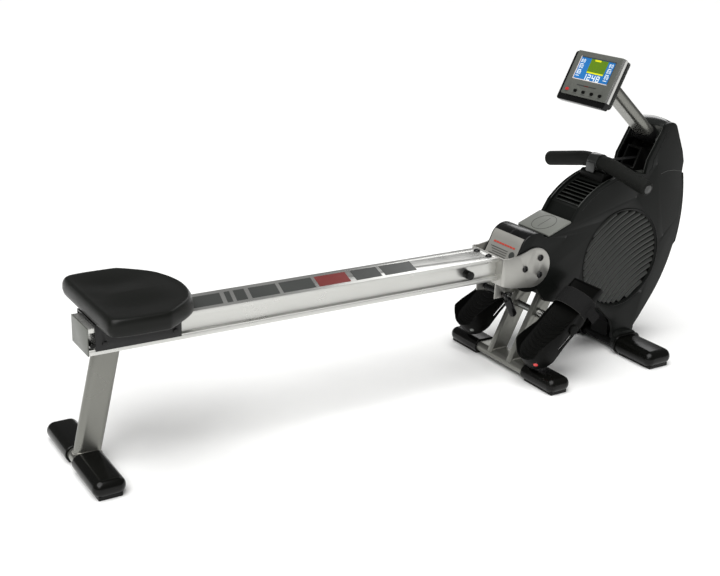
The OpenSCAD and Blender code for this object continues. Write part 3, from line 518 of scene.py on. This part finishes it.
def finish_cad():
    """Rounds off the CAD parts that are seen, and gives the others their materials."""
    for side in ("left", "right"):
        softened("shell_" + side, 2.2, on_shell_edge, 3)
        softened("footrest_" + side, 1.2)
    for node, width in (
        ("top_cover", 0.8), ("neck_channel", 1.0), ("front_cover", 2.5), ("handle_rest", 2.5),
        ("wheel_left", 0.3), ("wheel_right", 0.3), ("console_face", 1.6), ("posts", 1.4), ("rail", 1.2),
        ("rail_end_plate", 2.5), ("rail_stops", 1.8), ("fork_bracket", 1.2), ("pivot_hubs", 1.0),
        ("seat_carriage", 1.2), ("handle_collar", 1.8), ("lock_lever", 1.2), ("footrest_axle", 1.0),
        ("button_reset", 1.0), ("button_mode", 1.0), ("button_set", 1.0), ("button_up", 1.0),
        ("button_down", 1.0),
    ):
        softened(node, width)
    bpy.data.objects["handle_collar_finished"].data.materials[0] = COLLAR_GREY
    for node, obj in NODES.items():
        obj.data.materials.clear()
        obj.data.materials.append(MATERIALS[SLOT_OF[node]])


# ---------- housing ----------

RIBS = 17
# Middle of the arcs that the ribs follow, from the flywheel's axis
RIB_CENTRE = Vector((287, 0, -410))


def add_grilles():
    """Curved ribs in a round opening on each side, over a dark back."""
    rib_half_w, rib_height = 9.2, 8
    backs = slab(circle(GRILLE_R + 6, 96), 68, 70.5, lambda a, b, c: FLY + Vector((a, c, b)))
    piece("grille_backs", *both_sides(backs), "frame", "grille_plastic", DEEP_BLACK)
    reach, edge = RIB_CENTRE.length, GRILLE_R - 2
    middle = math.degrees(math.atan2(-RIB_CENTRE.z, -RIB_CENTRE.x))
    turns = [math.pi * k / 8 for k in range(9)]
    profile = [(rib_half_w * math.cos(t), rib_height * math.sin(t)) for t in turns]
    ribs = []
    for i in range(RIBS):
        r = reach + (i - (RIBS - 1) / 2) * 2 * GRILLE_R / RIBS
        half = math.degrees(math.acos((reach ** 2 + r ** 2 - edge ** 2) / (2 * reach * r)))
        path = [p + Y * 70 for p in arc_points(FLY + RIB_CENTRE, r, middle - half, middle + half, 30)]
        ribs.append(sweep(path, profile, Y))
    piece("grille_ribs", *both_sides(joined(ribs)), "frame", "grille_plastic", replaces=["grilles"])
    ring = lathe([(p + GRILLE_R + 7, q) for p, q in circle(2.6, 10)], FLY + Y * (SHELL_Y - 0.6), Y, 96)
    piece("grille_rims", *both_sides(ring), "frame", "housing_plastic")


def add_shell_trim():
    """Beads along the edges of the dome, the neck and the front, light grey lines of painted highlight along
    the shell edges and the front seam, and the neck's sill, light grey as a painted reflection.
    """
    inset = 13
    front_c, front_r = FLY + Vector((-277, 0, 133)), 553.5
    dome = arc_points(FLY, DOME_R - inset, 78, 137, 30)
    neck = [FLY + Vector((p, 0, q)) for p, q in ((101, 320), (105, 352), (134, 405), (147, 432), (160, 452))]
    path = [p + Y * (SHELL_Y - 0.4) for p in list(reversed(neck)) + dome]
    piece("shell_beads", *both_sides(sweep(path, circle(1.6, 8), Y)), "frame", "housing_plastic")
    # Light grey lines along the inner rim edge, the neck edge and the front edge of each shell: painted
    # highlights.
    inner_y = 69.5
    rim = [p + Y * inner_y for p in arc_points(FLY, DOME_R - 0.4, 79, 137, 30)]
    edge = [FLY + Vector((p, inner_y, q)) for p, q in ((71, 305), (80, 350), (118, 418), (142, 461))]
    front = [p + Y * (SHELL_Y - 1.2) for p in arc_points(front_c, front_r, 16, -14, 24)]
    lines = joined([sweep(line, circle(1.3, 8), Y) for line in (rim, edge, front)])
    piece("shell_edge_highlights", *both_sides(lines), "frame", "housing_plastic", HIGHLIGHT_GREY)
    # A real seam step; its light grey line is a painted highlight along the step.
    seam = [FLY + Vector((p, SHELL_Y - 0.4, q)) for p, q in ((150, 296), (180, 304), (215, 304), (258, 296))]
    seams = both_sides(sweep(seam, circle(1.2, 8), Y))
    piece("shell_seam_highlights", *seams, "frame", "housing_plastic", RIM_GREY_AND_SEAM_HIGHLIGHT)
    # The sill is a real lip; its light grey colour is a painted reflection at the foot of the neck channel.
    sill = rounded_slab(30, 2 * 66, 3, 300, 305, 1.5, lambda a, b, c: FLY + Vector((88 + a, b, c)))
    piece("neck_sill", *sill, "frame", "silver_plastic", HIGHLIGHT_GREY)


def add_neck_cap():
    """The crowned cap between the shells, and the wall behind the mast."""
    centre, half, radius, wall = FLY + Vector((172, 0, 445)), 67.7, 35, 4
    crown, stations = 8, 14
    rings = []
    for i in range(stations + 1):
        y = half * (2 * i / stations - 1)
        rise = crown * (1 - (y / half) ** 2)
        outer = arc_points(centre, radius + rise, 20, 150, 24) + [FLY + Vector((138, 0, 410))]
        under = arc_points(centre, radius - wall + rise, 20, 150, 24)
        inner = [FLY + Vector((141.5, 0, 410))] + list(reversed(under))
        rings.append([p + Y * y for p in outer + inner])
    cap = piece("neck_cap_finished", *loft(rings), "frame", "housing_plastic", CAP_GLOSS,
                replaces=["neck_cap"])
    carve(cap, slab(stadium(*MAST_HOLE, 12), -5, 150, on_mast))
    add_mast_boot()


def add_mast_boot():
    """A sleeve around the mast where it leaves the cap."""
    narrower = MAST_HOLE[0] - MAST_HOLE[1]
    low, high, inner_w, outer_w = 36, 76, 86.4, 94
    rings = [[on_mast(a, b, c) for a, b in stadium(w, w - narrower, 14)] for w, c in (
        (inner_w, low), (outer_w, low), (outer_w, high - 2), (outer_w - 1.5, high), (inner_w, high))]
    piece("mast_boot", *loft(rings, loop=True), "frame", "housing_plastic", DEEP_BLACK)


def add_vent():
    """A painted highlight, a light line along the front edge of each louvre in the top vent."""
    parts = []
    first, last, count, half, louvre_r = 114, 136, 7, 57, 300.8
    for i in range(count):
        a = math.radians(first + (last - first) * (i + 0.5) / count)
        radial = Vector((math.cos(a), 0, math.sin(a)))
        edge = FLY + radial * louvre_r + Vector((-math.sin(a), 0, math.cos(a))) * 4.3
        parts.append(sweep([edge - Y * half, edge, edge + Y * half], circle(1.1, 8), radial))
    piece("vent_edge_highlights", *joined(parts), "frame", "grille_plastic", HIGHLIGHT_GREY)


def add_tray():
    """The tool tray with its engraved round cap; the engraved ring and slot are thin black lines of painted
    shade.
    """
    top = 8
    tray = rounded_slab(162, 106, 4, 0.3, top, 2, on_tray)
    piece("tool_tray_finished", *tray, "frame", "silver_plastic", TRAY_GREY, replaces=["tool_tray"])
    outwards = on_tray(0, 0, 1) - on_tray(0, 0, 0)
    # Painted shade: thin black lines where the engraved grooves lie.
    engraving = lathe([(44 + p, q) for p, q in circle(0.6, 6)], on_tray(0, 0, top), outwards)
    slot = slab(rect(-0.6, -30, 0.6, 30), top - 0.1, top + 0.3, on_tray)
    piece("tray_engraving_shade", *joined([engraving, slot]), "frame", "silver_plastic", DEEP_BLACK)


def hump_point(angle, radius):
    """A point on the barrel's profile, angle in degrees."""
    return BARREL + Vector((math.cos(math.radians(angle)), 0, math.sin(math.radians(angle)))) * radius


def add_hump_and_label():
    """The glossy cover over the barrel, as wide as the shells, and the plate wrapped over its front."""
    line = [hump_point(a, BARREL_R + 0.6) for a in range(47, 166, 4)] + [Vector((352, 0, 406))]
    thin = [BARREL + (p - BARREL) * 0.93 for p in line]
    half, round_off = SHELL_Y - 0.4, 2
    rings = []
    for y, inset in ((-half, 1.6), (-half + round_off * 0.4, 0.5), (-half + round_off, 0),
                     (-0.6, 0), (0, 0.5), (0.6, 0),
                     (half - round_off, 0), (half - round_off * 0.4, 0.5), (half, 1.6)):
        outer = [BARREL + (p - BARREL) * (1 - inset / BARREL_R) for p in line]
        rings.append([p + Y * y for p in outer + list(reversed(thin))])
    piece("hump_cover", *loft(rings), "frame", "gloss_black", replaces=["barrel_cover"])
    plate_half = 76
    face = [hump_point(a, BARREL_R + 1.6) for a in range(135, 166, 5)] + [Vector((353, 0, 410))]
    back = [hump_point(a, BARREL_R) for a in range(135, 166, 5)] + [Vector((354.5, 0, 409.4))]
    rings = [[p + Y * y for p in face + list(reversed(back))] for y in (-plate_half, plate_half)]
    piece("label_plate_finished", *loft(rings), "frame", "label", replaces=["label_plate"])
    headline = [rect(-56 + 14 * i, 24, -44 + 14 * i, 30) for i in range(8)]
    small = [rect(-50 + 9 * i, -30, -43 + 9 * i, -27) for i in range(12)]
    lift = 2.2
    printed("label_headline", on_label, headline + small, lift, "frame", "label", PRINT_RED)
    lines = [rect(-30, 8 - 8 * i, 58 - 8 * (i % 3), 10 - 8 * i) for i in range(4)]
    lines.append([(-54 + x, 2 + y) for x, y in circle(13, 20)])
    printed("label_marks", on_label, lines, lift, "frame", "label", PRINT_AND_SHADE_GREY)


# ---------- console ----------

SEGMENTS = {"1": "bc", "2": "abged", "4": "fgbc", "8": "abcdefg", "0": "abcdef"}


def digit(number, a, b, width, height, stroke):
    """The lit bars of a seven-segment digit whose lower left corner is (a, b)."""
    half = height / 2
    right = a + width
    bars = {
        "a": rect(a, b + height - stroke, right, b + height),
        "b": rect(right - stroke, b + half, right, b + height),
        "c": rect(right - stroke, b, right, b + half),
        "d": rect(a, b, right, b + stroke),
        "e": rect(a, b, a + stroke, b + half),
        "f": rect(a, b + half, a + stroke, b + height),
        "g": rect(a, b + half - stroke / 2, right, b + half + stroke / 2),
    }
    return [bars[s] for s in SEGMENTS[number]]


def add_console():
    """The console's body, the ridged rim behind it and the bright bevel beside its face."""
    body = rounded_slab(230, 177, 9, -31, -5.8, 2.5, on_console, up=-11.5, aside=-9)
    piece("console_body", *body, "frame", "black_plastic", MATERIALS["gloss_black"],
          replaces=["console_back"])
    rim_w, rim_h, rim_aside, rim_up = 222, 167, -4, -6.5
    rim = rounded_slab(rim_w, rim_h, 9, -40, -30, 2, on_console, up=rim_up, aside=rim_aside)
    ridges = []
    for i in range(5):
        outline = rounded_rect(rim_w + 1.2, rim_h + 1.2, 9.6)
        ridge = [on_console(a + rim_aside, b + rim_up, -38.3 + 1.7 * i) for a, b in outline]
        ridges.append(sweep(ridge, circle(0.5, 6), X, loop=True))
    piece("console_rear_rim", *joined([rim] + ridges), "frame", "black_plastic", RIM_GREY_AND_SEAM_HIGHLIGHT)
    levels = []
    for width, depth in ((0.1, -0.2), (6, -6), (6, -16), (0.1, -16)):
        inner, outer, top = CONSOLE_HALF_W, CONSOLE_HALF_W + width, CONSOLE_HALF_H
        corners = ((inner, -top), (inner, top), (outer, top - width / 2), (outer, -top))
        levels.append([on_console(a, b, depth) for a, b in corners])
    piece("console_bevel", *loft(levels), "frame", "silver_plastic", MATERIALS["spring_chrome"])
    add_screen()
    left = -92
    marks = [rect(left + KEY_STEP * i, -71.5, left + 16 + KEY_STEP * i, -70) for i in range(5)]
    marks.append(rect(-50, -42, 42, -38, 3))
    printed("console_marks", on_console, marks, 0.02, "frame", "silver_plastic", PRINT_AND_SHADE_GREY)
    stripe = [rect(-16, -42, 6, -38, 3)]
    printed("console_stripe", on_console, stripe, 0.02, "frame", "silver_plastic", PRINT_RED)


def add_screen():
    """The window's edges, painted light on the bottom and left and painted shade on the top and right, and
    what the display shows: a green panel, a big number and two columns.
    """
    up, half_w, half_h = 19.5, 83, 41
    low, high = up - half_h, up + half_h
    # Bottom and left edges of the window in a pale colour: painted light.
    bezel = [slab(r, -5, 0.5, on_console) for r in (
        rect(-half_w, low, half_w, low + 2.5), rect(-half_w, low, -half_w + 2.5, high))]
    piece("lit_screen_bezel", *joined(bezel), "frame", "silver_plastic", BEZEL_PAINTED_LIGHT)
    # Top and right edges of the window in dark grey: painted shade.
    shade = [slab(r, -5, 0.3, on_console) for r in (
        rect(-half_w, high - 2, half_w, high), rect(half_w - 2, low, half_w, high))]
    piece("screen_window_shade", *joined(shade), "frame", "silver_plastic", PRINT_AND_SHADE_GREY)
    printed("screen_green", on_console, [rect(-33, up - 11, 48, up + 38)], -1.5, "frame", "screen", LCD_GREEN)
    yellow = [rect(-31, up - 13, 46, up - 8), rect(-15, up + 31, 14, up + 37)]
    printed("screen_yellow", on_console, yellow, -1.1, "frame", "screen", LCD_YELLOW)
    white = []
    for i, number in enumerate("1248"):
        white += digit(number, -40 + 21 * i, up - 38, 15, 21, 3.4)
    for i in range(3):
        row = up + 20 - 21 * i
        for a in (-76, 56):
            white += digit("8", a, row, 7, 12, 2)
            white += digit("0", a + 11, row, 7, 12, 2)
            white.append(rect(a, row - 7, a + 16, row - 4.5))
    printed("screen_white", on_console, white, -1.4, "frame", "screen", LCD_WHITE)


# ---------- handle and strap ----------

def handle_path(start, end, step=4):
    """The middle of the bar towards +Y, level at first, then bent down."""
    droop, bend_from, bend_length = math.radians(12.5), 35, 50
    y, z, path = 0.0, 0.0, []
    for s in range(end + 1):
        if s >= start and (s - start) % step == 0 or s == end:
            path.append(HANDLE + Vector((0, y, z)))
        turn = droop * min(1, max(0, (s - bend_from) / bend_length))
        y += math.cos(turn)
        z -= math.sin(turn)
    return path


def add_handle():
    """The foam grips with their rounded ends, and the collar's tab for the strap."""
    path = handle_path(23, 251, 3)
    rounding = 10
    scales = []
    for p in path:
        left = min(rounding, (path[-1] - p).length)
        scales.append(1 - rounding / GRIP_R * (1 - math.sqrt(max(0, 1 - (1 - left / rounding) ** 2))))
    grip = sweep(path, circle(GRIP_R, 32), X, scales)
    piece("grips", *both_sides(grip), "handle", "foam", replaces=["handle_grips"])
    end = path[-1]
    out = (end - path[-4]).normalized()
    button = lathe([(0.05, 0), (15.5, 0), (15, 1.0), (0.05, 2.2)], end - out * 0.4, out, 32)
    piece("grip_ends", *both_sides(button), "handle", "foam", COLLAR_GREY)
    tab = rounded_slab(40, 36, 5, 29, 34, 1.6, lambda a, b, c: HANDLE + Vector((-c, a, b - 16)))
    piece("collar_tab", *tab, "handle", SLOT_OF["handle_collar"], COLLAR_GREY)


def add_strap():
    """The webbing from the handle to the guide roller, and from there down to the drum."""
    half_w, half_t = 13, 1
    profile = [(-half_w, -half_t), (half_w, -half_t), (half_w, half_t), (-half_w, half_t)]
    start, end, steps = 808.0, 1005.0, 40
    path = [Vector((start + (end - start) * i / steps, 0, HANDLE.z)) for i in range(steps + 1)]
    rings = [[p + Y * a + Z * b for a, b in profile] for p in path]
    points, faces = loft(rings)
    outer = piece("strap_outer_run", points, faces, None, "webbing", STRAP_WEB)
    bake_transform(outer)
    drum, guide = Vector((620, 0, 400)), Vector((1005, 0, 701.7))
    drum_r, guide_r = 32.3, 9.3
    run = drum - guide
    leave = math.atan2(run.z, run.x) + math.acos((drum_r - guide_r) / run.length)
    normal = Vector((math.cos(leave), 0, math.sin(leave)))

    def on_run(a, b, c):
        start, end = guide + normal * (guide_r + b), drum + normal * (drum_r + b)
        return start.lerp(end, c) + Y * a

    inner = slab([(-half_w, 0), (half_w, 0), (half_w, 2), (-half_w, 2)], 0, 1, on_run)
    piece("strap_inner_run", *inner, "frame", "webbing", STRAP_WEB, replaces=["strap"])


# ---------- footrests ----------

def add_footrests():
    """Straps with painted highlights along their edges, ribbed soles and toe reflectors, and the springs on
    the axle.
    """
    half = FOOTREST_HALF_W
    rise, side_z = 29, 28
    bend_r = (half ** 2 + rise ** 2) / (2 * rise)
    opening = math.asin((bend_r - rise) / bend_r)
    arch = []
    for k in range(25):
        a = opening + (math.pi - 2 * opening) * k / 24
        arch.append((bend_r * math.cos(a), side_z + rise - bend_r + bend_r * math.sin(a)))
    line = [(half, -12)] + arch + [(-half, -12)]
    for side, name in ((1, "left"), (-1, "right")):
        place = on_footrest(side)
        body = "footrest_" + name
        path = [place(85.5, y, v) for y, v in line]
        up = place(1, 0, 0) - place(0, 0, 0)
        strap = sweep(path, rounded_rect(3, 65, 1.2, 2), up)
        tail = [place(85.5, side * (half + 1.5), v) for v in (6, -8, -22, -36, -50)]
        tail = [p + Y * side * 1.2 * i for i, p in enumerate(tail)]
        end = sweep(tail, rounded_rect(2, 38, 0.8, 2), up)
        piece("foot_webbing_" + name, *joined([strap, end]), body, "webbing", replaces=["foot_strap_" + name])
        # Light grey lines along both edges of the strap: painted highlights.
        edges = []
        for u in (53.8, 117.2):
            edges.append(sweep([place(u, y, v) for y, v in line], circle(1.1, 6), up))
        piece("webbing_highlights_" + name, *joined(edges), body, "webbing", STRAP_EDGE_HIGHLIGHT)
        ribs = []
        for i in range(10):
            rib = []
            for k in range(-6, 7):
                y = 8.6 * k
                rib.append(place(-166 + 18 * i + 68 - math.sqrt(68 ** 2 - y ** 2), y, 18.2))
            ribs.append(sweep(rib, circle(1.8, 6), up))
        piece("sole_ribs_" + name, *joined(ribs), body, "black_plastic")
        aim = math.radians(180 + 35)
        out = place(math.cos(aim), math.sin(aim), 0) - place(0, 0, 0)
        spot = place(-118 + 65 * math.cos(aim), 65 * math.sin(aim), 0)
        dot = lathe([(0.05, 0), (8, 0), (7.4, 1.8), (4, 2.8), (0.05, 3.1)], spot - out * 0.5, out, 28)
        piece("reflector_" + name, *dot, body, "red_button", REFLECTOR if side < 0 else REFLECTOR_GREY)
    end = lathe([(0.05, 0), (17.6, 0), (17.6, 5), (15, 7), (0.05, 7.6)], FOOT_AXLE + Y * 239.3, Y, 32)
    piece("axle_end_caps", *both_sides(end), "frame", "black_plastic")
    springs = helix(FOOT_AXLE, 14.5, 67, 95, 6, 2.2)
    leg = [FOOT_AXLE + Vector(p) for p in ((14.5, 95, 0), (16, 98, 12), (17, 104, 22))]
    leg = sweep(leg, circle(2.2, 7), Y)
    piece("torsion_springs", *both_sides(joined([springs, leg])), "frame", SLOT_OF["footrest_springs"],
          replaces=["footrest_springs"])


# ---------- rail, fork and lock ----------

def add_bolts():
    """Domed bolt heads with a socket, three on each side of the fork and two on top of the rail."""
    head = [(0.05, 0), (11.2, 0), (11.2, 1.6), (10, 4.0), (7.2, 5.6), (4.6, 6), (4.4, 2.4), (0.05, 2.4)]
    parts = [lathe(head, PIVOT + Vector((p, 90, q)), Y, 28) for p, q in ((26, 32), (-39, 0), (28, -29))]
    on_top = [lathe(head, Vector((284, y, RAIL_TOP)), Z, 28) for y in (-32, 32)]
    piece("button_bolts", *joined([both_sides(joined(parts))] + on_top), BODY_OF["fork_bolts"],
          SLOT_OF["fork_bolts"], replaces=["fork_bolts"])


def add_lock_spring():
    """The coil that is pressed together when the lever is pulled."""
    spring = piece("lock_coil", *helix(LOCK_PIN, 7.8, -47, 28, 16, 1.5), BODY_OF["lock_spring"],
                   SLOT_OF["lock_spring"], replaces=["lock_spring"])
    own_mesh(spring)


def add_decal():
    """Generic slanted stripes on top of the rail."""
    slant, low, high = 26, -44, 40
    dark = [rect(a, low, b, high, slant) for a, b in (
        (-800, -700), (-686, -668), (-656, -620), (-606, -514), (-502, -390), (-246, -150), (-138, -18))]
    printed("rail_stripes", on_rail, dark, 0.05, "rail", "label", PRINT_AND_SHADE_GREY)
    red = [rect(-378, low, -266, high, slant)]
    printed("rail_stripe_red", on_rail, red, 0.05, "rail", "label", DECAL_RED)


def tube_top(dx):
    """Height of a foot tube's surface above the floor, dx from its middle line."""
    flat, ball = 22, 19
    return FOOT_Z + math.sqrt(max(0, ball ** 2 - max(0, abs(dx) - flat) ** 2))


def add_welds():
    """Weld beads where the rear leg and the posts stand on their tubes."""
    leg_x = -1104.5
    path = []
    for a, b in stadium(82, 41, 14):
        x = leg_x + a
        path.append(Vector((x, b, tube_top(x - REAR_FOOT_X) + 0.5)))
    piece("rear_leg_weld", *bead(path, 3.4), "rail", SLOT_OF["rear_leg"], WELD)
    corners = chaikin([Vector(p) for p in ((400, 40, 0), (469, 40, 0), (469, 64, 0), (400, 64, 0))], 2)
    path = []
    for i, p in enumerate(corners):
        for t in (0, 0.5):
            q = p.lerp(corners[(i + 1) % len(corners)], t)
            path.append(Vector((q.x, q.y, tube_top(q.x - CROSSBAR_X) + 0.5)))
    piece("post_welds", *both_sides(bead(path, 2.8)), "frame", SLOT_OF["posts"], WELD)


# ---------- feet ----------

def foot_cap(x, inner, outer, width=95, height=52):
    """A moulded cap on the +Y end of a foot tube, with a domed end and a flat sole."""
    dome = height / 2 - 1
    levels = [(1.6, inner), (0, inner + 1.6), (0, outer - dome)]
    for k in range(1, 10):
        a = math.radians(9.3 * k)
        levels.append((dome * (1 - math.cos(a)), outer - dome + dome * math.sin(a)))
    lift = FOOT_Z + (height - 52) / 2
    shell = loft([[Vector((x + a, y, lift + b)) for a, b in stadium(width - 2 * i, height - 2 * i, 14)]
                  for i, y in levels])
    sole = rounded_slab(0.73 * width, outer - inner - 16, 3, 0, 13, 1.2,
                        lambda a, b, c: Vector((x + a, (inner + outer) / 2 + b, c)))
    return joined([shell, sole])


def add_feet():
    """Caps on the three foot tubes; the front ones have a flange, and a slot with a pin for a wheel."""
    front = FRONT_FOOT_X
    ring = loft([[Vector((front + a, y, FOOT_Z + 6 + b)) for a, b in stadium(134 - 2 * i, 70 - 2 * i, 14)]
                 for i, y in ((2, 104.8), (0, 107), (0, 110), (2, 112.2))])
    piece("foot_caps_finished", *both_sides(foot_cap(CROSSBAR_X, 125, 283)), "frame", "foot_rubber",
          replaces=["foot_caps"])
    shell = foot_cap(front, 112, 282, 122, 58)
    slot = slab(rect(front + 20, 215, front + 80, 243), -1, 49, lambda a, b, c: Vector((a, b, c)))
    carve(piece("front_cap_left", *shell, "frame", "foot_rubber"), slot)
    carve(piece("front_cap_right", *mirrored(shell), "frame", "foot_rubber"), mirrored(slot))
    pin = sweep([Vector((front + 47, y, 23)) for y in (213, 228, 245)], circle(4, 20), Z)
    piece("wheel_pins", *both_sides(pin), "frame", "axle_steel")
    piece("cap_flanges", *both_sides(ring), "frame", "foot_rubber")
    piece("rear_caps_finished", *both_sides(foot_cap(REAR_FOOT_X, 27, 215)), BODY_OF["rear_foot_caps"],
          "foot_rubber", replaces=["rear_foot_caps"])


# ---------- seat ----------

def seat_height(x, y):
    """How far the top lies below the rim: a hollow for each thigh, a ridge between, and a dip to the nose."""
    along = (x - (SEAT_BACK + 118)) / 88
    hollow = 13 * math.exp(-((abs(y) - 92) / 58) ** 2 - along ** 2)
    channel = 5 * math.exp(-(y / 40) ** 2 - ((x - SEAT_BACK - 40) / 60) ** 2)
    nose = 5 * max(0, (x - SEAT_BACK - 210) / 90) ** 2
    return hollow + channel + nose


def add_seat():
    """The padded seat: a lofted wall under a top that is worked out by seat_height."""
    half = ((16, 0), (16, 0.45), (16, 0.88), (26, 0.95), (42, 0.98), (80, 1), (125, 1), (170, 1),
            (185, 0.985), (262, 0.66), (285, 0.4), (296, 0.2), (300, 0))
    right = [Vector((SEAT_BACK + x, -w * SEAT_HALF_W, 0)) for x, w in half]
    left = [Vector((p.x, -p.y, 0)) for p in reversed(right[1:-1])]
    outline = chaikin(right + left, 2)
    middle = Vector((SEAT_BACK + 150, 0, 0))

    def ring(inset, z, front=4, back=0):
        """The outline at a height, drawn in by inset, and pushed out at the nose and at the back."""
        points = []
        for p in outline:
            share = (p.x - middle.x) / 150
            x = middle.x + share * (150 - inset) + front * max(0, share) ** 2 - back * max(0, -share) ** 4
            points.append(Vector((x, p.y * (1 - inset / SEAT_HALF_W), z)))
        return points

    rings = [ring(6, 457.6, 14), ring(2.5, 458.4, 17, 3), ring(0, 462, 18, 6), ring(-1.5, 475, 15, 9),
             ring(-1.5, 490, 10, 7), ring(-0.5, 497, 7, 4), ring(1.2, 502, 5, 2), ring(3.4, 505.5, 4, 1),
             ring(6, SEAT_TOP - 0.6)]
    for k in range(1, 25):
        inset_share = k / 24
        points = []
        for p in ring(6, 0):
            q = p.lerp(middle, inset_share * 0.985)
            fade = min(1, inset_share * 5)
            points.append(Vector((q.x, q.y, SEAT_TOP - seat_height(q.x, q.y) * fade * (2 - fade))))
        rings.append(points)
    seat = piece("seat_cushion", *loft(rings), "seat", "seat_skin", replaces=["seat_pad"], angle=50)


# ---------- studio ----------

def aimed(name, kind, place, energy):
    """A light that shines from a place towards the middle of the machine."""
    light = bpy.data.lights.new(name, kind)
    light.energy = energy
    lamp = bpy.data.objects.new(name, light)
    lamp.location = place
    lamp.rotation_euler = (Vector((0, 0, 0.4)) - Vector(place)).to_track_quat("-Z", "Y").to_euler()
    bpy.context.scene.collection.objects.link(lamp)
    return light


def add_studio():
    """A pale floor, one broad light overhead and two softboxes."""
    scene = bpy.context.scene
    scene.view_settings.view_transform = "Standard"
    world = scene.world or bpy.data.worlds.new("world")
    scene.world = world
    world.use_nodes = True
    sky = world.node_tree.nodes["Background"]
    sky.inputs["Color"].default_value = (1, 1, 1, 1)
    sky.inputs["Strength"].default_value = 0.16
    bpy.ops.mesh.primitive_plane_add(size=60, location=(0, 0, 0))
    floor = bpy.context.object
    floor.name = "floor"
    paper = surface("floor_paper", (0.93, 0.93, 0.92), 0.8, grain=60, depth=0.02, tint=0.01)
    floor.data.materials.append(paper)
    overhead = bpy.data.lights.new("overhead", "SUN")
    overhead.energy = 3.4
    overhead.angle = math.radians(55)
    lamp = bpy.data.objects.new("overhead", overhead)
    lamp.rotation_euler = Vector((-0.35, -0.25, 1.0)).to_track_quat("Z", "Y").to_euler()
    scene.collection.objects.link(lamp)
    for name, place, energy in (("key", (-3.2, -2.4, 2.6), 30), ("rim", (2.8, 2.4, 2.4), 25)):
        aimed(name, "AREA", place, energy).size = 1.8


finish_cad()
add_grilles()
add_shell_trim()
add_neck_cap()
add_vent()
add_tray()
add_hump_and_label()
add_console()
add_handle()
add_strap()
add_footrests()
add_bolts()
add_lock_spring()
add_decal()
add_welds()
add_feet()
add_seat()
add_studio()
add_camera()
